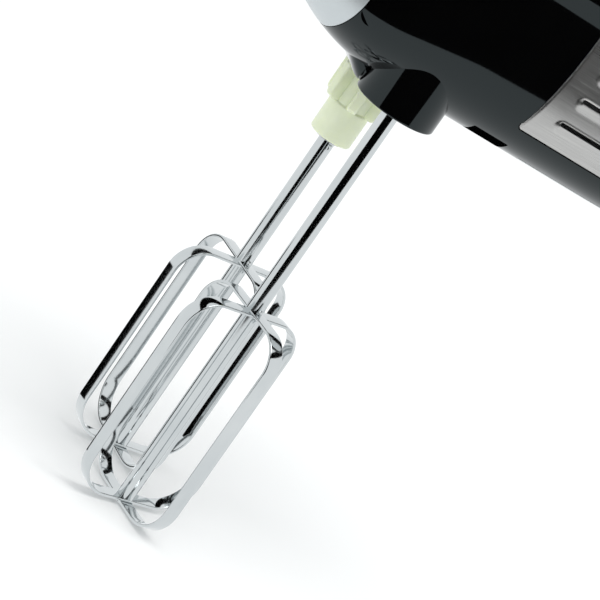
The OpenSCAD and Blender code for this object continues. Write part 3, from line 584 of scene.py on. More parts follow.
# a strip bent round four soft corners; corners 0 and 1 are the upper ones
def makeStripTree():
    tree, gi, go = newTree("bentStrip", [("Half Width", "Float", 23.1), ("Top", "Float", -80.0),
                                         ("Bottom", "Float", -160.0), ("Top Corner", "Float", 10.5),
                                         ("Low Corner", "Float", 12.5), ("Strip Width", "Float", 5.4),
                                         ("Strip Thickness", "Float", 1.0), ("Edge", "Float", 0.3),
                                         ("Crown", "Float", 0.0), ("Finish", "Material", None)])
    path = tree.nodes.new("GeometryNodeCurvePrimitiveQuadrilateral")
    path.mode = "POINTS"
    flipped = mathNode(tree, "MULTIPLY", gi.outputs["Half Width"], -1.0)
    for name, x, z in (("Point 1", gi.outputs["Half Width"], "Top"), ("Point 2", flipped, "Top"),
                       ("Point 3", flipped, "Bottom"), ("Point 4", gi.outputs["Half Width"], "Bottom")):
        corner = tree.nodes.new("ShaderNodeCombineXYZ")
        tree.links.new(x, corner.inputs["X"])
        tree.links.new(gi.outputs[z], corner.inputs["Z"])
        tree.links.new(corner.outputs["Vector"], path.inputs[name])
    index = tree.nodes.new("GeometryNodeInputIndex")
    lower = mathNode(tree, "GREATER_THAN", index.outputs["Index"], 1.5)
    spread = mathNode(tree, "SUBTRACT", gi.outputs["Low Corner"], gi.outputs["Top Corner"])
    radius = mathNode(tree, "ADD", gi.outputs["Top Corner"], mathNode(tree, "MULTIPLY", lower, spread))
    bend = tree.nodes.new("GeometryNodeFilletCurve")
    bend.mode = "POLY"
    bend.inputs["Count"].default_value = 20
    tree.links.new(path.outputs["Curve"], bend.inputs["Curve"])
    tree.links.new(radius, bend.inputs["Radius"])
    section = tree.nodes.new("GeometryNodeCurvePrimitiveQuadrilateral")
    section.mode = "RECTANGLE"
    tree.links.new(gi.outputs["Strip Width"], section.inputs["Width"])
    tree.links.new(gi.outputs["Strip Thickness"], section.inputs["Height"])
    soft = tree.nodes.new("GeometryNodeFilletCurve")
    soft.mode = "POLY"
    soft.inputs["Count"].default_value = 4
    tree.links.new(section.outputs["Curve"], soft.inputs["Curve"])
    tree.links.new(gi.outputs["Edge"], soft.inputs["Radius"])
    sweep = tree.nodes.new("GeometryNodeCurveToMesh")
    tree.links.new(bend.outputs["Curve"], sweep.inputs["Curve"])
    tree.links.new(soft.outputs["Curve"], sweep.inputs["Profile Curve"])
    endTree(tree, sweep.outputs["Mesh"], gi, go)
    return tree


def grown(name, tree, values, points=((0, 0, 0),)):
    seed = bpy.data.meshes.new(name + "Seed")
    seed.from_pydata([tuple(p) for p in points], [], [])
    holder = bpy.data.objects.new(name + "Seed", seed)
    scene.collection.objects.link(holder)
    modifier = holder.modifiers.new(tree.name, "NODES")
    modifier.node_group = tree
    for item in tree.interface.items_tree:
        if item.in_out == "INPUT" and item.name in values:
            modifier[item.identifier] = values[item.name]
    mesh = evaluated(holder)
    piece = bpy.data.objects.new(name, mesh)
    scene.collection.objects.link(piece)
    drop(holder)
    return piece


def outward(piece, weld=1e-4):
    b = bmesh.new()
    b.from_mesh(piece.data)
    bmesh.ops.remove_doubles(b, verts=b.verts, dist=weld)
    bmesh.ops.recalc_face_normals(b, faces=b.faces)
    b.to_mesh(piece.data)
    b.free()
    return piece


scatterTree = makeScatterTree()
rowTree = makeRowTree()
ringTree = makeRingTree()
stripTree = makeStripTree()
print("node trees made")


# body and handle shapes

body = dict(width=78.0, underZ=4.5, crownZ=78.5, waistZ=48.0, noseReach=66.0, heelReach=134.0, noseFrom=12.0,
            heelFrom=-62.0, bulgeFrom=-10.0, squareness=3.0, wall=2.4, endAngle=84.0, stations=64, around=168)

handle = dict(frontX=14.0, rearX=-108.0, footZ=58.5, topZ=126.5, archPower=4.6, gripPower=2.7,
              gripHeight=26.0,
              gripWidth=31.0, stations=150, around=96)


def signedPower(value, power):
    return np.sign(value) * np.abs(value) ** (2 / power)


def rounding(u, power):
    return (1 - np.clip(u, 0, 1) ** power) ** (1 / power)


def bodyReach(x, inset):
    b = body
    end = math.sin(math.radians(b["endAngle"]))
    nose, heel = b["noseReach"] - inset, b["heelReach"] - inset
    toNose = (x - b["noseFrom"]) / (nose - b["noseFrom"]) * end
    toHeel = (b["heelFrom"] - x) / (heel + b["heelFrom"]) * end
    bulge = (x - b["bulgeFrom"]) / (nose - b["bulgeFrom"]) * end
    side = (b["width"] / 2 - inset) * rounding(bulge, 2.3) * rounding(toHeel, 2.7)
    fall = (b["waistZ"] - b["underZ"] - inset) * rounding(toNose, 1.85) * rounding(toHeel, 3.2)
    rise = (b["crownZ"] - b["waistZ"] - inset) * rounding(toNose, 2.1) * rounding(toHeel, 3.2)
    return side, fall, rise


def skinAt(x, z, inset=0.0):
    side, fall, rise = bodyReach(x, inset)
    up = (z - body["waistZ"]) / np.where(z < body["waistZ"], fall, rise)
    return side * np.clip(1 - np.abs(up) ** body["squareness"], 0, 1) ** (1 / body["squareness"])


def evenAngles(count, power, wide, tall):
    dense = np.linspace(0, 2 * math.pi, 20001)
    x, y = wide * signedPower(np.cos(dense), power), tall * signedPower(np.sin(dense), power)
    run = np.concatenate([[0], np.cumsum(np.hypot(np.diff(x), np.diff(y)))])
    return np.interp(np.linspace(0, run[-1], count, endpoint=False), run, dense)


def bodySolid(name, inset, stations, around):
    b = body
    end = math.sin(math.radians(b["endAngle"]))
    sweep = np.radians(89.9) * np.sin(np.linspace(0, math.pi / 2, stations))
    noseX = b["noseFrom"] + (b["noseReach"] - inset - b["noseFrom"]) * np.sin(sweep) / end
    heelX = b["heelFrom"] - (b["heelReach"] - inset + b["heelFrom"]) * np.sin(sweep) / end
    middle = np.linspace(b["noseFrom"], b["heelFrom"], stations // 2 + 2)[1:-1]
    t = evenAngles(around, b["squareness"], b["width"] / 2, 37)
    rings = []
    for x in np.concatenate([noseX[::-1], middle, heelX]):
        side, fall, rise = bodyReach(x, inset)
        s = np.sin(t)
        rings.append(np.stack([np.full(around, x), side * signedPower(np.cos(t), b["squareness"]),
                               b["waistZ"] + np.where(s < 0, fall, rise) * signedPower(s, b["squareness"])],
                              -1))
    return lofted(name, rings)


def archPath(count):
    h = handle
    dense = np.linspace(0, math.pi, 40001)
    middle, half = (h["frontX"] + h["rearX"]) / 2, (h["frontX"] - h["rearX"]) / 2
    x = middle + half * signedPower(np.cos(dense), h["archPower"])
    z = h["footZ"] + (h["topZ"] - h["footZ"]) * np.abs(np.sin(dense)) ** (2 / h["archPower"])
    run = np.concatenate([[0], np.cumsum(np.hypot(np.diff(x), np.diff(z)))])
    phi = np.interp(np.linspace(0, run[-1], count), run, dense)
    px, pz = np.interp(phi, dense, x), np.interp(phi, dense, z)
    dx, dz = np.gradient(px), np.gradient(pz)
    size = np.hypot(dx, dz)
    return phi, px, pz, dx / size, dz / size


def handleSolid(name, inset, stations, around):
    h = handle
    phi, px, pz, dx, dz = archPath(stations)
    c = np.cos(phi)
    tall = h["gripHeight"] / 2 + 8 * np.clip(c, 0, 1) ** 3 + 3 * np.clip(-c, 0, 1) ** 3 - inset
    wide = h["gripWidth"] / 2 + 2 * np.abs(c) ** 3 - inset
    t = evenAngles(around, h["gripPower"], h["gripWidth"] / 2, h["gripHeight"] / 2)
    rings = []
    for i in range(stations):
        up = tall[i] * signedPower(np.sin(t), h["gripPower"])
        rings.append(np.stack([px[i] + dz[i] * up, wide[i] * signedPower(np.cos(t), h["gripPower"]),
                               pz[i] - dx[i] * up], -1))
    return lofted(name, rings)


# rounds the inner corners where two shapes meet
def softenJoins(piece, reach, rounds, zLow, zHigh):
    b = bmesh.new()
    b.from_mesh(piece.data)
    b.edges.ensure_lookup_table()
    creases = set()
    for e in b.edges:
        if len(e.link_faces) == 2 and e.calc_face_angle_signed(0.0) < -0.3:
            if all(zLow < v.co.z < zHigh for v in e.verts):
                creases.update(v.index for v in e.verts)
    points = np.array([v.co for v in b.verts], float)
    pairs = np.array([(e.verts[0].index, e.verts[1].index) for e in b.edges])
    b.free()
    if not creases:
        return piece
    tree = kdtree.KDTree(len(creases))
    for i in creases:
        tree.insert(points[i], i)
    tree.balance()
    near = np.zeros(len(points))
    zone = np.where((points[:, 2] > zLow - reach) & (points[:, 2] < zHigh + reach))[0]
    for i in zone:
        near[i] = max(0.0, 1 - tree.find(points[i])[2] / reach)
    weight = (near * near * (3 - 2 * near) * 0.6)[:, None]
    a, c = np.concatenate([pairs[:, 0], pairs[:, 1]]), np.concatenate([pairs[:, 1], pairs[:, 0]])
    degree = np.maximum(1, np.bincount(a, minlength=len(points)))[:, None]
    for _ in range(rounds):
        mean = np.stack([np.bincount(a, points[c, k], len(points)) for k in range(3)], -1) / degree
        points = points + (mean - points) * weight
    piece.data.vertices.foreach_set("co", points.astype(np.float32).ravel())
    piece.data.update()
    return piece


housing = dict(
    bossRadius=14.2, bossHeight=28.5, bossEdge=0.7, boreRadius=11.2, boreDepth=9.0,
    chamberRadius=11.8, chamberTop=21.0, gap=0.3,
    seamX=85.2, seamZ=28.0, seamRadius=55.0,
    outletLow=(-35.5, 18.0, 1.5), outletHigh=(-22.5, 36.0, 10.3),
    coverFront=-43.0, coverRear=-116.0, coverHeight=2.6,
    ejectX=0.0, turboX=-19.0, selectorX=-36.0, selectorTravel=20.0, wellFloor=126.5, wellTop=160,
    bushX=-127.5, bushZ=100.5, bushRadius=5.5, bushSeatGap=0.1,
    heelPadHeight=37.0, heelPadWide=30.0, heelPadTall=38.0, heelPadThick=2.5,
    screwPoints=((-114.0, 24.5, 14.0), (-114.0, 58.5, 14.0), (26.3, 24.5, 12.0), (20.0, 102.5, 6.0),
                 (-105.0, 100.5, 6.0)),
    gripFront=-70.0, gripBack=-94.0, joinReach=6.0, parting=0.05,
    screwBore=1.7, screwHeadBore=3.5, pillarRadius=4, padSeat=130.35,
)

web = dict(back=3.0, overUnder=8, end=20.7, reach=20.6, power=7, coreReach=19.7, coreBack=1.0, coreLift=0.9,
           forward=10.4, grooveLow=0.7, grooveHigh=1.3, grooveTop=12)

panel = dict(
    front=-32.0, rear=-96.0, low=18.0, high=64.0, bow=3.5, rake=14.0, thickness=0.8, proud=0.15, corner=2.2,
    edgeRoll=0.4, edgeReach=0.7, louvres=4, louvreHeight=5.2, louvrePitch=10.0, firstLouvre=7.5, rise=1.0,
    slotWidth=1.4, slotLift=1.5, slotTrim=1.5, step=0.38,
)


def panelFrontAt(z):
    t = (z - panel["low"]) / (panel["high"] - panel["low"])
    return panel["front"] - panel["bow"] * (1 - (1 - t) ** 2)


def panelRearAt(z):
    t = (z - panel["low"]) / (panel["high"] - panel["low"])
    return panel["rear"] + panel["rake"] * t * t


def panelOutline(gap):
    z = np.linspace(panel["low"], panel["high"], 41)
    front = [(panelFrontAt(v) + gap, v) for v in z[1:-1]]
    rear = [(panelRearAt(v) - gap, v) for v in z[-2:0:-1]]
    low, high = panel["low"] - gap, panel["high"] + gap
    r = panel["corner"]
    front = [p for p in front if low + r < p[1] < high - r]
    rear = [p for p in rear if low + r < p[1] < high - r]

    def corner(x, y, sx, sy):
        xs = x + sx * r
        ys = y + sy * r
        return [((1 - t) ** 2 * x + 2 * t * (1 - t) * x + t * t * xs,
                 (1 - t) ** 2 * ys + 2 * t * (1 - t) * y + t * t * y)
                for t in np.linspace(0, 1, 9)]

    frontLow = corner(panelFrontAt(panel["low"]) + gap, low, -1, 1)[::-1]
    frontHigh = corner(panelFrontAt(panel["high"]) + gap, high, -1, -1)
    rearHigh = corner(panelRearAt(panel["high"]) - gap, high, 1, -1)[::-1]
    rearLow = corner(panelRearAt(panel["low"]) - gap, low, 1, 1)
    return frontLow + front + frontHigh + rearHigh + rear + rearLow


def bossSolid(side):
    h = housing
    r, top, e = h["bossRadius"], h["bossHeight"], h["bossEdge"]
    profile = softCorners([(0, 0), (r, 0), (r, top), (0, top)], [0, e, 0, 0], 8, closed=False)
    return turned("boss", profile, (0, side * axisY, 0), segments=160)


def fairingLoft(name, outline, reach):
    back, top = web["back"], body["underZ"] + web["overUnder"]
    rings = []
    for y in reach * np.sin(np.linspace(-math.pi / 2, math.pi / 2, 61)):
        k = float(rounding(abs(y) / web["end"], web["power"]))
        rings.append([(back + (x - back) * k, y, top + (z - top) * k) for x, z in outline])
    return lofted(name, rings)


# joins the bosses at the front, with a groove round each boss
def fairing():
    r = housing["bossRadius"]
    tip, top = r + web["forward"], body["underZ"] + web["overUnder"]
    outline = [(web["back"], 0.5), (r - 0.6, 0.5), (r + 1.2, 1.2), (tip, body["underZ"] + 5), (tip, top),
               (web["back"], top)]
    outline = softCorners(outline, [0, 0.6, 1.4, 0.5, 0, 0], 6)
    solid = fairingLoft("fairing", outline, web["reach"])
    for side in (-1, 1):
        profile = [(0, -1), (r + web["grooveLow"], -1), (r + web["grooveHigh"], web["grooveTop"]),
                   (0, web["grooveTop"])]
        carve(solid, turned("groove", profile, (0, side * axisY, 0), segments=128))
    inner = [(x - web["coreBack"], z + web["coreLift"]) for x, z in outline]
    return carve(solid, fairingLoft("fairingCore", inner, web["coreReach"]), "UNION")


def screwPillars(side):
    pillars, wide = [], housing["pillarRadius"]
    for x, z, depth in housing["screwPoints"]:
        outer = handle["gripWidth"] / 2 - 1.2 if z > body["crownZ"] else float(skinAt(x, z, 1.2))
        pillars.append(turned("pillar", [(0, 0), (wide, 0), (wide, outer), (0, outer)], (x, 0, z), "Y", 48))
        if side < 0:
            pillars[-1].data.transform(Matrix.Scale(-1, 4, (0, 1, 0)))
            pillars[-1].data.flip_normals()
    return pillars


def wholeHousing():
    h, b = housing, body
    shell = bodySolid("shell", 0.0, b["stations"], b["around"])
    for side in (-1, 1):
        carve(shell, bossSolid(side), "UNION")
    carve(shell, fairing(), "UNION")
    carve(shell, handleSolid("handle", 0.0, handle["stations"], handle["around"]), "UNION")
    softenJoins(shell, h["joinReach"], 40, b["crownZ"] - 14, b["crownZ"] + 6)
    hollow = bodySolid("hollow", b["wall"], 40, 96)
    carve(hollow, handleSolid("handleHollow", b["wall"], 90, 48), "UNION")
    carve(shell, hollow)
    for side in (-1, 1):
        for pillar in screwPillars(side):
            carve(shell, pillar, "UNION")
    gap, seatRadius = h["gap"], h["bushRadius"] + h["bushSeatGap"]
    tools = [
        turned("seam", [(0, -60), (h["seamRadius"] + gap / 2, -60), (h["seamRadius"] + gap / 2, 60), (0, 60)],
               (h["seamX"], 0, h["seamZ"]), "Y", 360),
        block("underCut", (h["coverRear"] - gap / 2, -50, -1),
              (h["coverFront"] + gap / 2, 50, b["underZ"] + h["coverHeight"] + gap / 2)),
        prism("heelCut", roundedRectangle(h["heelPadWide"] + 0.2, h["heelPadTall"] + 0.2, 7, 0,
                                          b["underZ"] + h["heelPadHeight"]), -140, -127, "X"),
        prism("gripCut", [(h["gripBack"] - gap / 2, h["padSeat"]), (h["gripFront"] + gap / 2, h["padSeat"]),
                          (h["gripFront"] + gap / 2, 150), (h["gripBack"] - gap / 2, 150)], -31, 31),
        prism("ejectWell", roundedRectangle(13.6, 17.6, 5.5, h["ejectX"]), h["wellFloor"], h["wellTop"], "Z"),
        prism("turboWell", roundedRectangle(12.6, 14.6, 5.0, h["turboX"]), h["wellFloor"], h["wellTop"], "Z"),
        prism("selectorSlot", roundedRectangle(h["selectorTravel"] + 8, 6, 2.9, h["selectorX"] - 10),
              h["wellFloor"], h["wellTop"], "Z"),
        turned("bushSeat", [(0, -1), (seatRadius, -1), (seatRadius, 30), (0, 30)],
               (h["bushX"] - 2, 0, h["bushZ"]), "X", 96),
    ]
    for side in (-1, 1):
        edge = panelOutline(gap)
        tools.append(prism("window", edge, 18 * side, 60 * side))
        low, high = h["outletLow"], h["outletHigh"]
        outline = softCorners([(low[0], low[2]), (high[0], low[2]), (high[0], high[2]), (low[0], high[2])],
                              0.5, 3)
        tools.append(prism("outlet", outline, low[1] * side, high[1] * side))
        bore, chamber = h["boreRadius"], h["chamberRadius"]
        profile = [(0, -1), (bore + 0.8, -1), (bore + 0.8, 0.0), (bore, 0.8), (bore, h["boreDepth"]),
                   (chamber, h["boreDepth"]), (chamber, h["chamberTop"]), (0, h["chamberTop"])]
        tools.append(turned("bore", softCorners(profile, 0, closed=False), (0, side * axisY, 0), "Z", 128))
    for x, z, depth in h["screwPoints"]:
        profile = [(0, -80), (h["screwHeadBore"], -80), (h["screwHeadBore"], -depth),
                   (h["screwBore"], -depth),
                   (h["screwBore"], 1), (0, 1)]
        tools.append(turned("counterbore", profile, (x, 0, z), "Y", 64))
    for tool in tools:
        carve(shell, tool)
    return shell


def housingHalf(shell, name, side):
    half = twin(shell, name)
    near, far = housing["parting"] * side, 90 * side
    wedge = block("half", (-200, min(near, far), -20), (120, max(near, far), 200))
    carve(half, wedge, "INTERSECT")
    return half


# marks the joins round the bosses as sharp, so that smooth shading stops at them
def sharpenJoins(piece):
    mesh = piece.data
    count = len(mesh.polygons)
    centre, normal = np.empty(count * 3), np.empty(count * 3)
    mesh.polygons.foreach_get("center", centre)
    mesh.polygons.foreach_get("normal", normal)
    centre, normal = centre.reshape(-1, 3) / mm, normal.reshape(-1, 3)
    x, y, z = (centre - np.array((axisX, 0, rimZ))).T

    def depth(x, y, z):
        side, fall, rise = bodyReach(x, 0.0)
        up = np.abs(z - body["waistZ"]) / np.maximum(0.5, np.where(z < body["waistZ"], fall, rise))
        return (np.abs(y) / np.maximum(0.5, side)) ** body["squareness"] + up ** body["squareness"]

    step = 0.01
    slope = np.stack([depth(x + step, y, z) - depth(x - step, y, z),
                      depth(x, y + step, z) - depth(x, y - step, z),
                      depth(x, y, z + step) - depth(x, y, z - step)], -1)
    slope /= np.maximum(1e-12, np.linalg.norm(slope, axis=1))[:, None]
    onBody = (np.abs(depth(x, y, z) - 1) < 0.03) & ((slope * normal).sum(1) > 0.985)
    offAxis = np.hypot(x, np.abs(y) - axisY)
    onBoss = (np.abs(offAxis - housing["bossRadius"]) < 0.05) & (np.abs(normal[:, 2]) < 0.05) & (z < 20)
    kind = onBody + 2 * onBoss
    edges = np.empty(len(mesh.loops), int)
    mesh.loops.foreach_get("edge_index", edges)
    sizes = np.empty(count, int)
    mesh.polygons.foreach_get("loop_total", sizes)
    kinds = np.repeat(kind, sizes)
    low, high = np.full(len(mesh.edges), 9), np.full(len(mesh.edges), -1)
    np.minimum.at(low, edges, kinds)
    np.maximum.at(high, edges, kinds)
    sharp = mesh.attributes["sharp_edge"]
    marks = np.empty(len(mesh.edges), bool)
    sharp.data.foreach_get("value", marks)
    nearBosses = np.zeros(len(mesh.edges), bool)
    nearBosses[edges[np.repeat((z < 26) & (np.abs(x) < 34), sizes)]] = True
    marks |= (low != high) & nearBosses
    sharp.data.foreach_set("value", marks)
    mesh.update()
    return piece


shell = wholeHousing()
leftHalf, rightHalf = housingHalf(shell, "housingShellLeft", 1), housingHalf(shell, "housingShellRight", -1)
sharpenJoins(finished(leftHalf, "blackGloss", "housing", ["housing_left"], sharp=20))
sharpenJoins(finished(rightHalf, "blackGloss", "housing", ["housing_right"], sharp=20))
drop(shell)
print("housing shells made")


# nose cover and light strip under the body
def bodySlice(name, tool, wall=2.4):
    piece = bodySolid(name, 0.0, body["stations"], body["around"])
    carve(piece, tool, "INTERSECT")
    carve(piece, bodySolid("inner", wall, 40, 96))
    return piece


h = housing
noseTool = turned("noseTool", [(0, -60), (h["seamRadius"] - 0.15, -60), (h["seamRadius"] - 0.15, 60),
                               (0, 60)],
                  (h["seamX"], 0, h["seamZ"]), "Y", 360)
finished(bodySlice("noseShell", noseTool), "silverSatin", "housing", ["nose_cover"])
stripTool = block("stripTool", (h["coverRear"] + 0.15, -50, -1),
                  (h["coverFront"] - 0.15, 50, body["underZ"] + h["coverHeight"] - 0.15))
underStrip = bodySlice("underStrip", stripTool)
finished(underStrip, "lightGrey", "housing", ["bottom_cover"])
print("nose and under strip made")


# side panels: a pressed steel sheet with open louvres
def louvrePlaces():
    for i in range(panel["louvres"]):
        z = panel["low"] + panel["firstLouvre"] + i * panel["louvrePitch"]
        front = panelFrontAt(z) - 7
        yield z, front, front - panelRearAt(z) - 9


def pressed(x, z):
    p = panel
    lift = np.zeros_like(x)
    r = p["louvreHeight"] / 2
    for middle, front, length in louvrePlaces():
        u = front - x
        inEnd = np.maximum(0, np.maximum(r - u, u - (length - r)))
        half = np.sqrt(np.clip(r * r - inEnd ** 2, 1e-6, None))
        v = (z - middle) / half * r
        crest = p["slotLift"] - p["slotWidth"] / 2
        climb = np.clip((v + r) / (r + crest), 0, 1)
        climb = climb * climb * (3 - 2 * climb)
        fall = np.clip((r - v) / (r - crest), 0, 1)
        ends = np.clip((r - inEnd) / (0.8 * r), 0, 1)
        ends = ends * ends * (3 - 2 * ends)
        inside = (u > 0) & (u < length) & (np.abs(v) < r)
        lift = np.where(inside, p["rise"] * climb * np.minimum(1, fall * 1.4) * ends, lift)
    return lift


def louvrePanel(name):
    p = panel
    x = np.arange(p["front"] + 3, p["rear"] - 3, -p["step"])
    z = np.arange(p["low"] - 3, p["high"] + 3, p["step"])
    gx, gz = np.meshgrid(x, z, indexing="ij")
    base = skinAt(gx, gz) + p["proud"]
    edge = np.minimum.reduce([panelFrontAt(gz) - gx, gx - panelRearAt(gz), gz - p["low"], p["high"] - gz])
    roll = np.clip(1 - edge / p["edgeReach"], 0, 1.5) ** 2 * p["edgeRoll"]
    outer = base + pressed(gx, gz) - roll
    inner = base + pressed(gx, gz) - p["thickness"]
    n, m = gx.shape
    points = np.concatenate([np.stack([gx, outer, gz], -1).reshape(-1, 3),
                             np.stack([gx, inner, gz], -1).reshape(-1, 3)])
    i, j = np.meshgrid(np.arange(n - 1), np.arange(m - 1), indexing="ij")
    quads = np.stack([i * m + j, i * m + j + 1, (i + 1) * m + j + 1, (i + 1) * m + j], -1).reshape(-1, 4)
    faces = quads.tolist() + (quads[:, ::-1] + n * m).tolist()
    rim = [(a, 0) for a in range(n)] + [(n - 1, c) for c in range(1, m)]
    rim += [(a, m - 1) for a in range(n - 2, -1, -1)] + [(0, c) for c in range(m - 2, 0, -1)]
    loop = [a * m + c for a, c in rim]
    for k in range(len(loop)):
        a, c = loop[k], loop[(k + 1) % len(loop)]
        faces.append((a, c, c + n * m, a + n * m))
    sheet = solid(name, points, faces, weld=False)
    carve(sheet, prism("trim", panelOutline(0.0), 10, 60), "INTERSECT")
    for middle, front, length in louvrePlaces():
        w, lift, trim = p["slotWidth"], p["slotLift"], p["slotTrim"]
        slot = roundedRectangle(length - 2 * trim, w, w / 2 - 0.01, front - length / 2, middle + lift)
        carve(sheet, prism("slot", slot, 10, 60))
    return sheet


leftPanel = louvrePanel("louvrePanelLeft")
rightPanel = mirrored(leftPanel, "louvrePanelRight")
finished(leftPanel, "brushedSteel", "housing", ["side_panel_left"])
finished(rightPanel, "brushedSteel", "housing", ["side_panel_right"])
print("side panels made")


# heel pad, cord gland and screws
def heelBumper():
    z = body["underZ"] + h["heelPadHeight"]
    back = -body["heelReach"] - h["heelPadThick"]
    rings = []
    for x, inset in ((-127.0, 0), (back + 1.4, 0), (back + 0.55, 0.25), (back + 0.15, 0.8), (back, 1.6)):
        outline = roundedRectangle(h["heelPadWide"] - 2 * inset, h["heelPadTall"] - 2 * inset, 7 - inset, 0,
                                   z, 10)
        rings.append([(x, y, v) for y, v in outline])
    return lofted("heelBumper", rings)


def cordGland():
    inner, outer, flange = 3.7, 5.5, 7.1
    profile = softCorners([(inner, 0), (flange, 0), (flange, 3), (outer, 3), (outer, 14), (inner, 14)],
                          [0.8, 0.9, 0.4, 0.2, 0.5, 0.3])
    return turned("cordGland", profile, (h["bushX"], 0, h["bushZ"]), "X", 128, closed=True)


def screwPiece():
    headRadius, headHeight, rodRadius, length = 3.2, 2.2, 1.5, 13.0
    profile = softCorners([(0, -length), (0.6, -length), (rodRadius, -length + 1.4), (rodRadius, 0),
                           (headRadius, 0),
                           (headRadius, headHeight - 0.9), (headRadius - 1.0, headHeight - 0.25),
                           (0, headHeight)],
                          [0, 0.2, 0.3, 0.0, 0.2, 0.6, 0.6, 0], closed=False)
    screw = turned("screwPiece", profile, along="Y", segments=48)
    arm, half = 1.75, 0.45
    cross = [(arm, half), (half, half), (half, arm), (-half, arm), (-half, half), (-arm, half), (-arm, -half),
             (-half, -half), (-half, -arm), (half, -arm), (half, -half), (arm, -half)]
    carve(screw, prism("recess", cross, headHeight - 1.3, headHeight + 2))
    screw.data.transform(Matrix.Rotation(math.pi, 4, "Z"))
    return screw


finished(heelBumper(), "rubberBlack", "housing", ["heel_pad"])
finished(cordGland(), "rubberBlack", "housing", ["cord_bush"])
screw = screwPiece()
screws = grown("coverScrews", scatterTree, {"Piece": screw, "Finish": finishes["zincSteel"]},
               [(x, -depth, z) for x, z, depth in h["screwPoints"]])
drop(screw)
finished(screws, "zincSteel", "housing", ["housing_screws"])
print("pad, gland and screws made")


# rubber inlay on the grip with cross ribs that follow its crown
grip = dict(ribs=8, ribRadius=0.55, region=130.5, sunk=0.1)


def gripInlay():
    inlay = handleSolid("gripInlay", 0.0, handle["stations"], handle["around"])
    gap = h["gap"] / 2
    region = prism("region", [(h["gripBack"] + gap, grip["region"]), (h["gripFront"] - gap, grip["region"]),
                              (h["gripFront"] - gap, 150), (h["gripBack"] + gap, 150)], -31, 31)
    carve(inlay, region, "INTERSECT")
    return carve(inlay, handleSolid("inner", 2.4, 90, 48))


def gripRib():
    pitch = (h["gripFront"] - h["gripBack"]) / (grip["ribs"] + 1)
    t = np.radians(np.linspace(38, 142, 41))
    path = np.stack([np.zeros_like(t), handle["gripWidth"] / 2 * signedPower(np.cos(t), handle["gripPower"]),
                     handle["topZ"] + handle["gripHeight"] / 2 * signedPower(np.sin(t), handle["gripPower"])],
                    -1)
    rings = []
    for i, p in enumerate(path):
        ahead = path[min(i + 1, len(path) - 1)] - path[max(i - 1, 0)]
        ahead /= np.linalg.norm(ahead)
        up = np.cross(ahead, (1, 0, 0))
        end = min(i, len(path) - 1 - i) / 4
        r = grip["ribRadius"] * (math.sqrt(max(0.04, 1 - (1 - end) ** 2)) if end < 1 else 1)
        a = np.linspace(0, 2 * math.pi, 12, endpoint=False)[:, None]
        centre = p + np.array((h["gripBack"] + pitch, 0, 0)) - up * grip["sunk"] * (1 if up[2] > 0 else -1)
        rings.append(centre + r * (np.cos(a) * np.array((1.5, 0, 0)) + np.sin(a) * up))
    return lofted("gripRib", rings), pitch


rib, ribPitch = gripRib()
finished(gripInlay(), "rubberGrey", "housing", ["grip_pad"])
ribs = grown("gripRibs", rowTree, {"Piece": rib, "Count": grip["ribs"], "Step": (ribPitch, 0.0, 0.0),
                                   "Finish": finishes["rubberGrey"]})
drop(rib)
finished(outward(ribs), "rubberGrey", "housing")
print("grip made")


controls = dict(
    ejectLength=13.0, ejectWidth=17.0, ejectSeat=120.5, ejectTop=140.5,
    turboLength=12.0, turboWidth=14.0, turboSeat=125.5, turboTop=141.7,
    edge=1.3, dome=0.7, sliderLow=139.9, sliderHigh=143.5, ejectCorner=5.2, turboCorner=4.7,
    rodRadius=2.5, rodHoleLow=118, rodHoleTop=125.5, pegRadius=1.4, pegLow=122.5, pegTop=126,
)


def buttonCap(name, x, length, width, low, high, radius):
    c = controls
    rings = []
    steps = [(low, 0.0), (high - c["dome"] - c["edge"], 0.0)]
    for t in np.radians(np.linspace(15, 90, 6)):
        steps.append((high - c["dome"] - c["edge"] * (1 - math.sin(t)), c["edge"] * (1 - math.cos(t))))
    for z, inset in steps:
        outline = roundedRectangle(length - 2 * inset, width - 2 * inset, radius - inset * 0.8, x, 0, 10)
        rings.append([(a, b, z) for a, b in outline])
    base = np.array(rings[-1])
    centre = np.array((x, 0, high - c["dome"]))
    for s in (0.88, 0.74, 0.58, 0.4, 0.2, 0.06):
        ring = centre + (base - centre) * s
        ring[:, 2] += c["dome"] * (1 - s * s)
        rings.append(ring)
    return lofted(name, rings)


def speedSlider():
    x, low, high = h["selectorX"], controls["sliderLow"], controls["sliderHigh"]
    side = softCorners([(x - 4, low), (x + 6, low), (x + 6, low + 1.4), (x + 3.5, high),
                        (x + 0.2, high - 0.9),
                        (x - 2.2, high - 0.5), (x - 4, low + 1.5)], [0.3, 0.3, 0.8, 1.2, 2.0, 1.0, 0.8], 5)
    cap = rounded(prism("speedSlider", side, -7, 7), 0.5, 3, 50)
    carve(cap, block("stem", (x - 2.5, -2.6, 127.5), (x + 2.5, 2.6, low + 0.6)), "UNION")
    return carve(cap, block("foot", (x - 4, -5, 126.5), (x + 4, 5, 128.5)), "UNION")


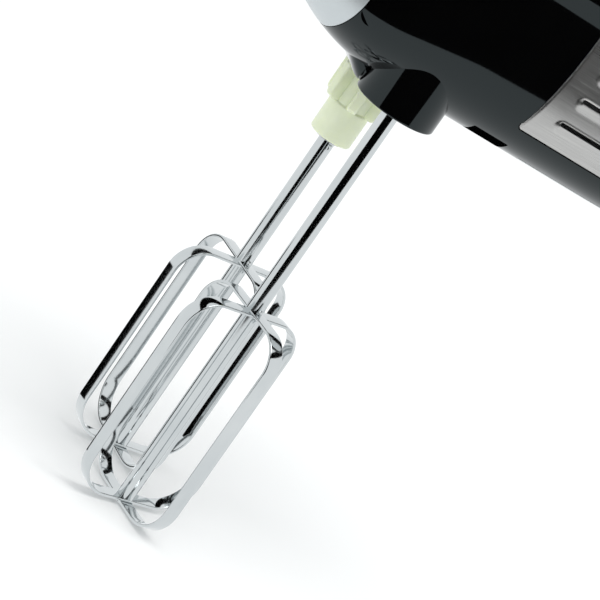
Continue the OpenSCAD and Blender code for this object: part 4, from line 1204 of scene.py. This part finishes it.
c = controls
ejectKey = buttonCap("ejectKey", h["ejectX"], c["ejectLength"], c["ejectWidth"], c["ejectSeat"],
                     c["ejectTop"],
                     c["ejectCorner"])
rodHole = [(0, c["rodHoleLow"]), (c["rodRadius"], c["rodHoleLow"]), (c["rodRadius"], c["rodHoleTop"]),
           (0, c["rodHoleTop"])]
carve(ejectKey, turned("rodHole", rodHole, (h["ejectX"], 0, 0), "Z", 64))
finished(ejectKey, "silverSatin", "ejector", ["eject_button"])
turboKey = buttonCap("turboKey", h["turboX"], c["turboLength"], c["turboWidth"], c["turboSeat"],
                     c["turboTop"],
                     c["turboCorner"])
peg = [(0, c["pegLow"]), (c["pegRadius"], c["pegLow"]), (c["pegRadius"], c["pegTop"]), (0, c["pegTop"])]
carve(turboKey, turned("peg", peg, (h["turboX"], 0, 0), "Z", 48), "UNION")
finished(turboKey, "silverSatin", "turbo", ["turbo_button"])
finished(speedSlider(), "silverSatin", "selector", ["speed_selector"])
ridge = turned("ridge", softCorners([(0, -5), (0.32, -5), (0.32, 5), (0, 5)], [0, 0.2, 0.2, 0], closed=False),
               (h["selectorX"] - 1.9, 0, controls["sliderHigh"] - 0.75), "Y", 20)
ridges = grown("sliderRidges", rowTree, {"Piece": ridge, "Count": 3, "Step": (1.1, 0.0, 0.0),
                                         "Finish": finishes["silverSatin"]})
drop(ridge)
finished(outward(ridges), "silverSatin", "selector")
print("controls made")


beater = dict(
    rodRadius=3.0, reach=161.0, headHeight=0.8, loopTop=-80.5, loopRadius=23.1, stripWidth=5.4,
              stripThickness=1.0,
    topCorner=11.0, lowCorner=13.0, leftPhase=115.0, rightPhase=110.0, rodTop=53.0,
    collarLow=-28.5, collarStep=-16.2, collarHigh=-2.6, collarRadius=7.6, ribRadius=10.8, ribWidth=3.4,
              ribCount=6,
)


def turnedTo(piece, side, phase):
    place = Matrix.Translation((0, side * axisY, 0)) @ Matrix.Rotation(math.radians(phase), 4, "Z")
    piece.data.transform(place)
    return piece


def beaterRod(name, lugZ):
    k = beater
    r, low, top = k["rodRadius"], -k["reach"], k["rodTop"]
    shoulder = low + 2 * k["stripThickness"]
    profile = softCorners([(0, low - k["headHeight"]), (r - 1.2, low - k["headHeight"]), (r + 0.0, low),
                           (r - 1, low),
                           (r - 1, shoulder), (r, shoulder), (r, top - 14.7), (r - 0.6, top - 14.0),
                           (r, top - 13.3), (r, top), (r - 0.8, top + 1), (0, top + 1)],
                          [0, 0.5, 0.2, 0, 0, 0.15, 0.3, 0.4, 0.3, 0.3, 0.3, 0], 4, closed=False)
    rod = turned(name, profile, segments=128)
    lugs = [(k["loopTop"], 1.6, 4.0), (k["loopTop"] - 2 * k["stripThickness"] - 1.6, 1.6, 4.0),
            (lugZ, 2.4, 4.0)]
    for z, height, reach in lugs:
        outline = softCorners([(-reach, z + 0.2), (reach, z + 0.2), (reach - 0.5, z + height),
                               (-reach + 0.5, z + height)],
                              0.6, 4)
        carve(rod, rounded(prism("lug", outline, -0.7, 0.7), 0.25, 2, 50), "UNION")
    carve(rod, block("wings", (-4.6, -0.6, 8), (4.6, 0.6, 13)), "UNION")
    return rod


def stripLoop(name, shrink, quarter):
    k = beater
    half = k["stripThickness"] / 2
    piece = grown(name, stripTree, {
        "Half Width": k["loopRadius"], "Top": k["loopTop"] - half - shrink,
                                    "Bottom": -k["reach"] + half + shrink,
        "Top Corner": k["topCorner"] - half, "Low Corner": k["lowCorner"] - half,
                                    "Strip Width": k["stripWidth"],
        "Strip Thickness": k["stripThickness"], "Edge": 0.32, "Finish": finishes["chromeStrip"]})
    if quarter:
        piece.data.transform(Matrix.Rotation(math.pi / 2, 4, "Z"))
    return outward(piece)


for label, side, phase, lugZ in (("Left", 1, beater["leftPhase"], 0.5),
                                 ("Right", -1, beater["rightPhase"], beater["collarLow"] - 4)):
    low = label.lower()
    finished(turnedTo(beaterRod("beaterRod" + label, lugZ), side, phase), "chromeRod", low + "_beater",
             ["beater_shaft_" + low])
    finished(turnedTo(stripLoop("outerStrip" + label, 0.0, False), side, phase), "chromeStrip",
             low + "_beater",
             ["beater_outer_loop_" + low])
    finished(turnedTo(stripLoop("innerStrip" + label, beater["stripThickness"], True), side, phase),
             "chromeStrip",
             low + "_beater", ["beater_inner_loop_" + low])
print("beaters made")


# nylon collar: plain below, ribbed above, on the right beater
def collarPiece():
    k = beater
    low, step, high, r = k["collarLow"], k["collarStep"], k["collarHigh"], k["collarRadius"]
    profile = softCorners([(3, low), (r, low), (r, step), (r - 0.6, step + 0.6), (r - 0.6, high), (3, high)],
                          [0.2, 0.8, 0.4, 0.2, 0.6, 0.2])
    collar = turned("nylonCollar", profile, segments=128, closed=True)
    side = softCorners([(5, step + 0.2), (k["ribRadius"], step + 0.2), (k["ribRadius"], high), (5, high)],
                       [0, 2.2, 1.0, 0], 8)
    rib = rounded(prism("collarRib", side, -k["ribWidth"] / 2, k["ribWidth"] / 2), 0.45, 3, 50)
    ribs = grown("collarRibs", ringTree, {"Piece": rib, "Count": k["ribCount"],
                                          "First Angle": math.radians(30),
                                          "Finish": finishes["creamNylon"]})
    drop(rib)
    return carve(collar, outward(ribs), "UNION")


finished(turnedTo(collarPiece(), -1, beater["rightPhase"]), "creamNylon", "right_beater", ["beater_collar"])
washer = turned("collarClip", softCorners([(3.02, 0), (5.2, 0), (5.2, 0.7), (3.02, 0.7)], 0.15, 3),
                (0, 0, beater["collarLow"] - 0.7), segments=96, closed=True)
finished(turnedTo(washer, -1, beater["rightPhase"]), "zincSteel", "right_beater", ["collar_washer"])
print("collar made")


# the parts inside keep their own shapes and get their finishes
insideFinish = dict(
    gear_frame="greyNylon", gear_cover="greyNylon", spindle_bushes="bronze", stator_core="lamination",
    field_coils="copper", front_bearing="bronze", rear_bearing="bronze", motor_bracket="zincSteel",
    brush_holders="bronze", carbon_brushes="carbon", brush_springs="zincSteel", switch_board="boardGreen",
    ejector_guide="greyNylon", motor_shaft="zincSteel", drive_worm="zincSteel", armature_core="lamination",
    armature_windings="copper", commutator="copper", cooling_fan="whiteNylon", worm_wheel_left="whiteNylon",
    spindle_left="zincSteel", worm_wheel_right="whiteNylon", spindle_right="zincSteel",
                    turbo_spring="zincSteel",
    ejector_fork="greyNylon", eject_spring="zincSteel",
)
for name, finish in insideFinish.items():
    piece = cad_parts[name]
    piece.data.materials.clear()
    piece.data.materials.append(finishes[finish])
unfinished = [n for n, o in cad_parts.items() if not o.hide_render and n not in insideFinish]
print("inner parts finished, left over:", unfinished)

setCamera(studio)
setStudio(studio)
bpy.context.view_layer.update()
print("scene ready")
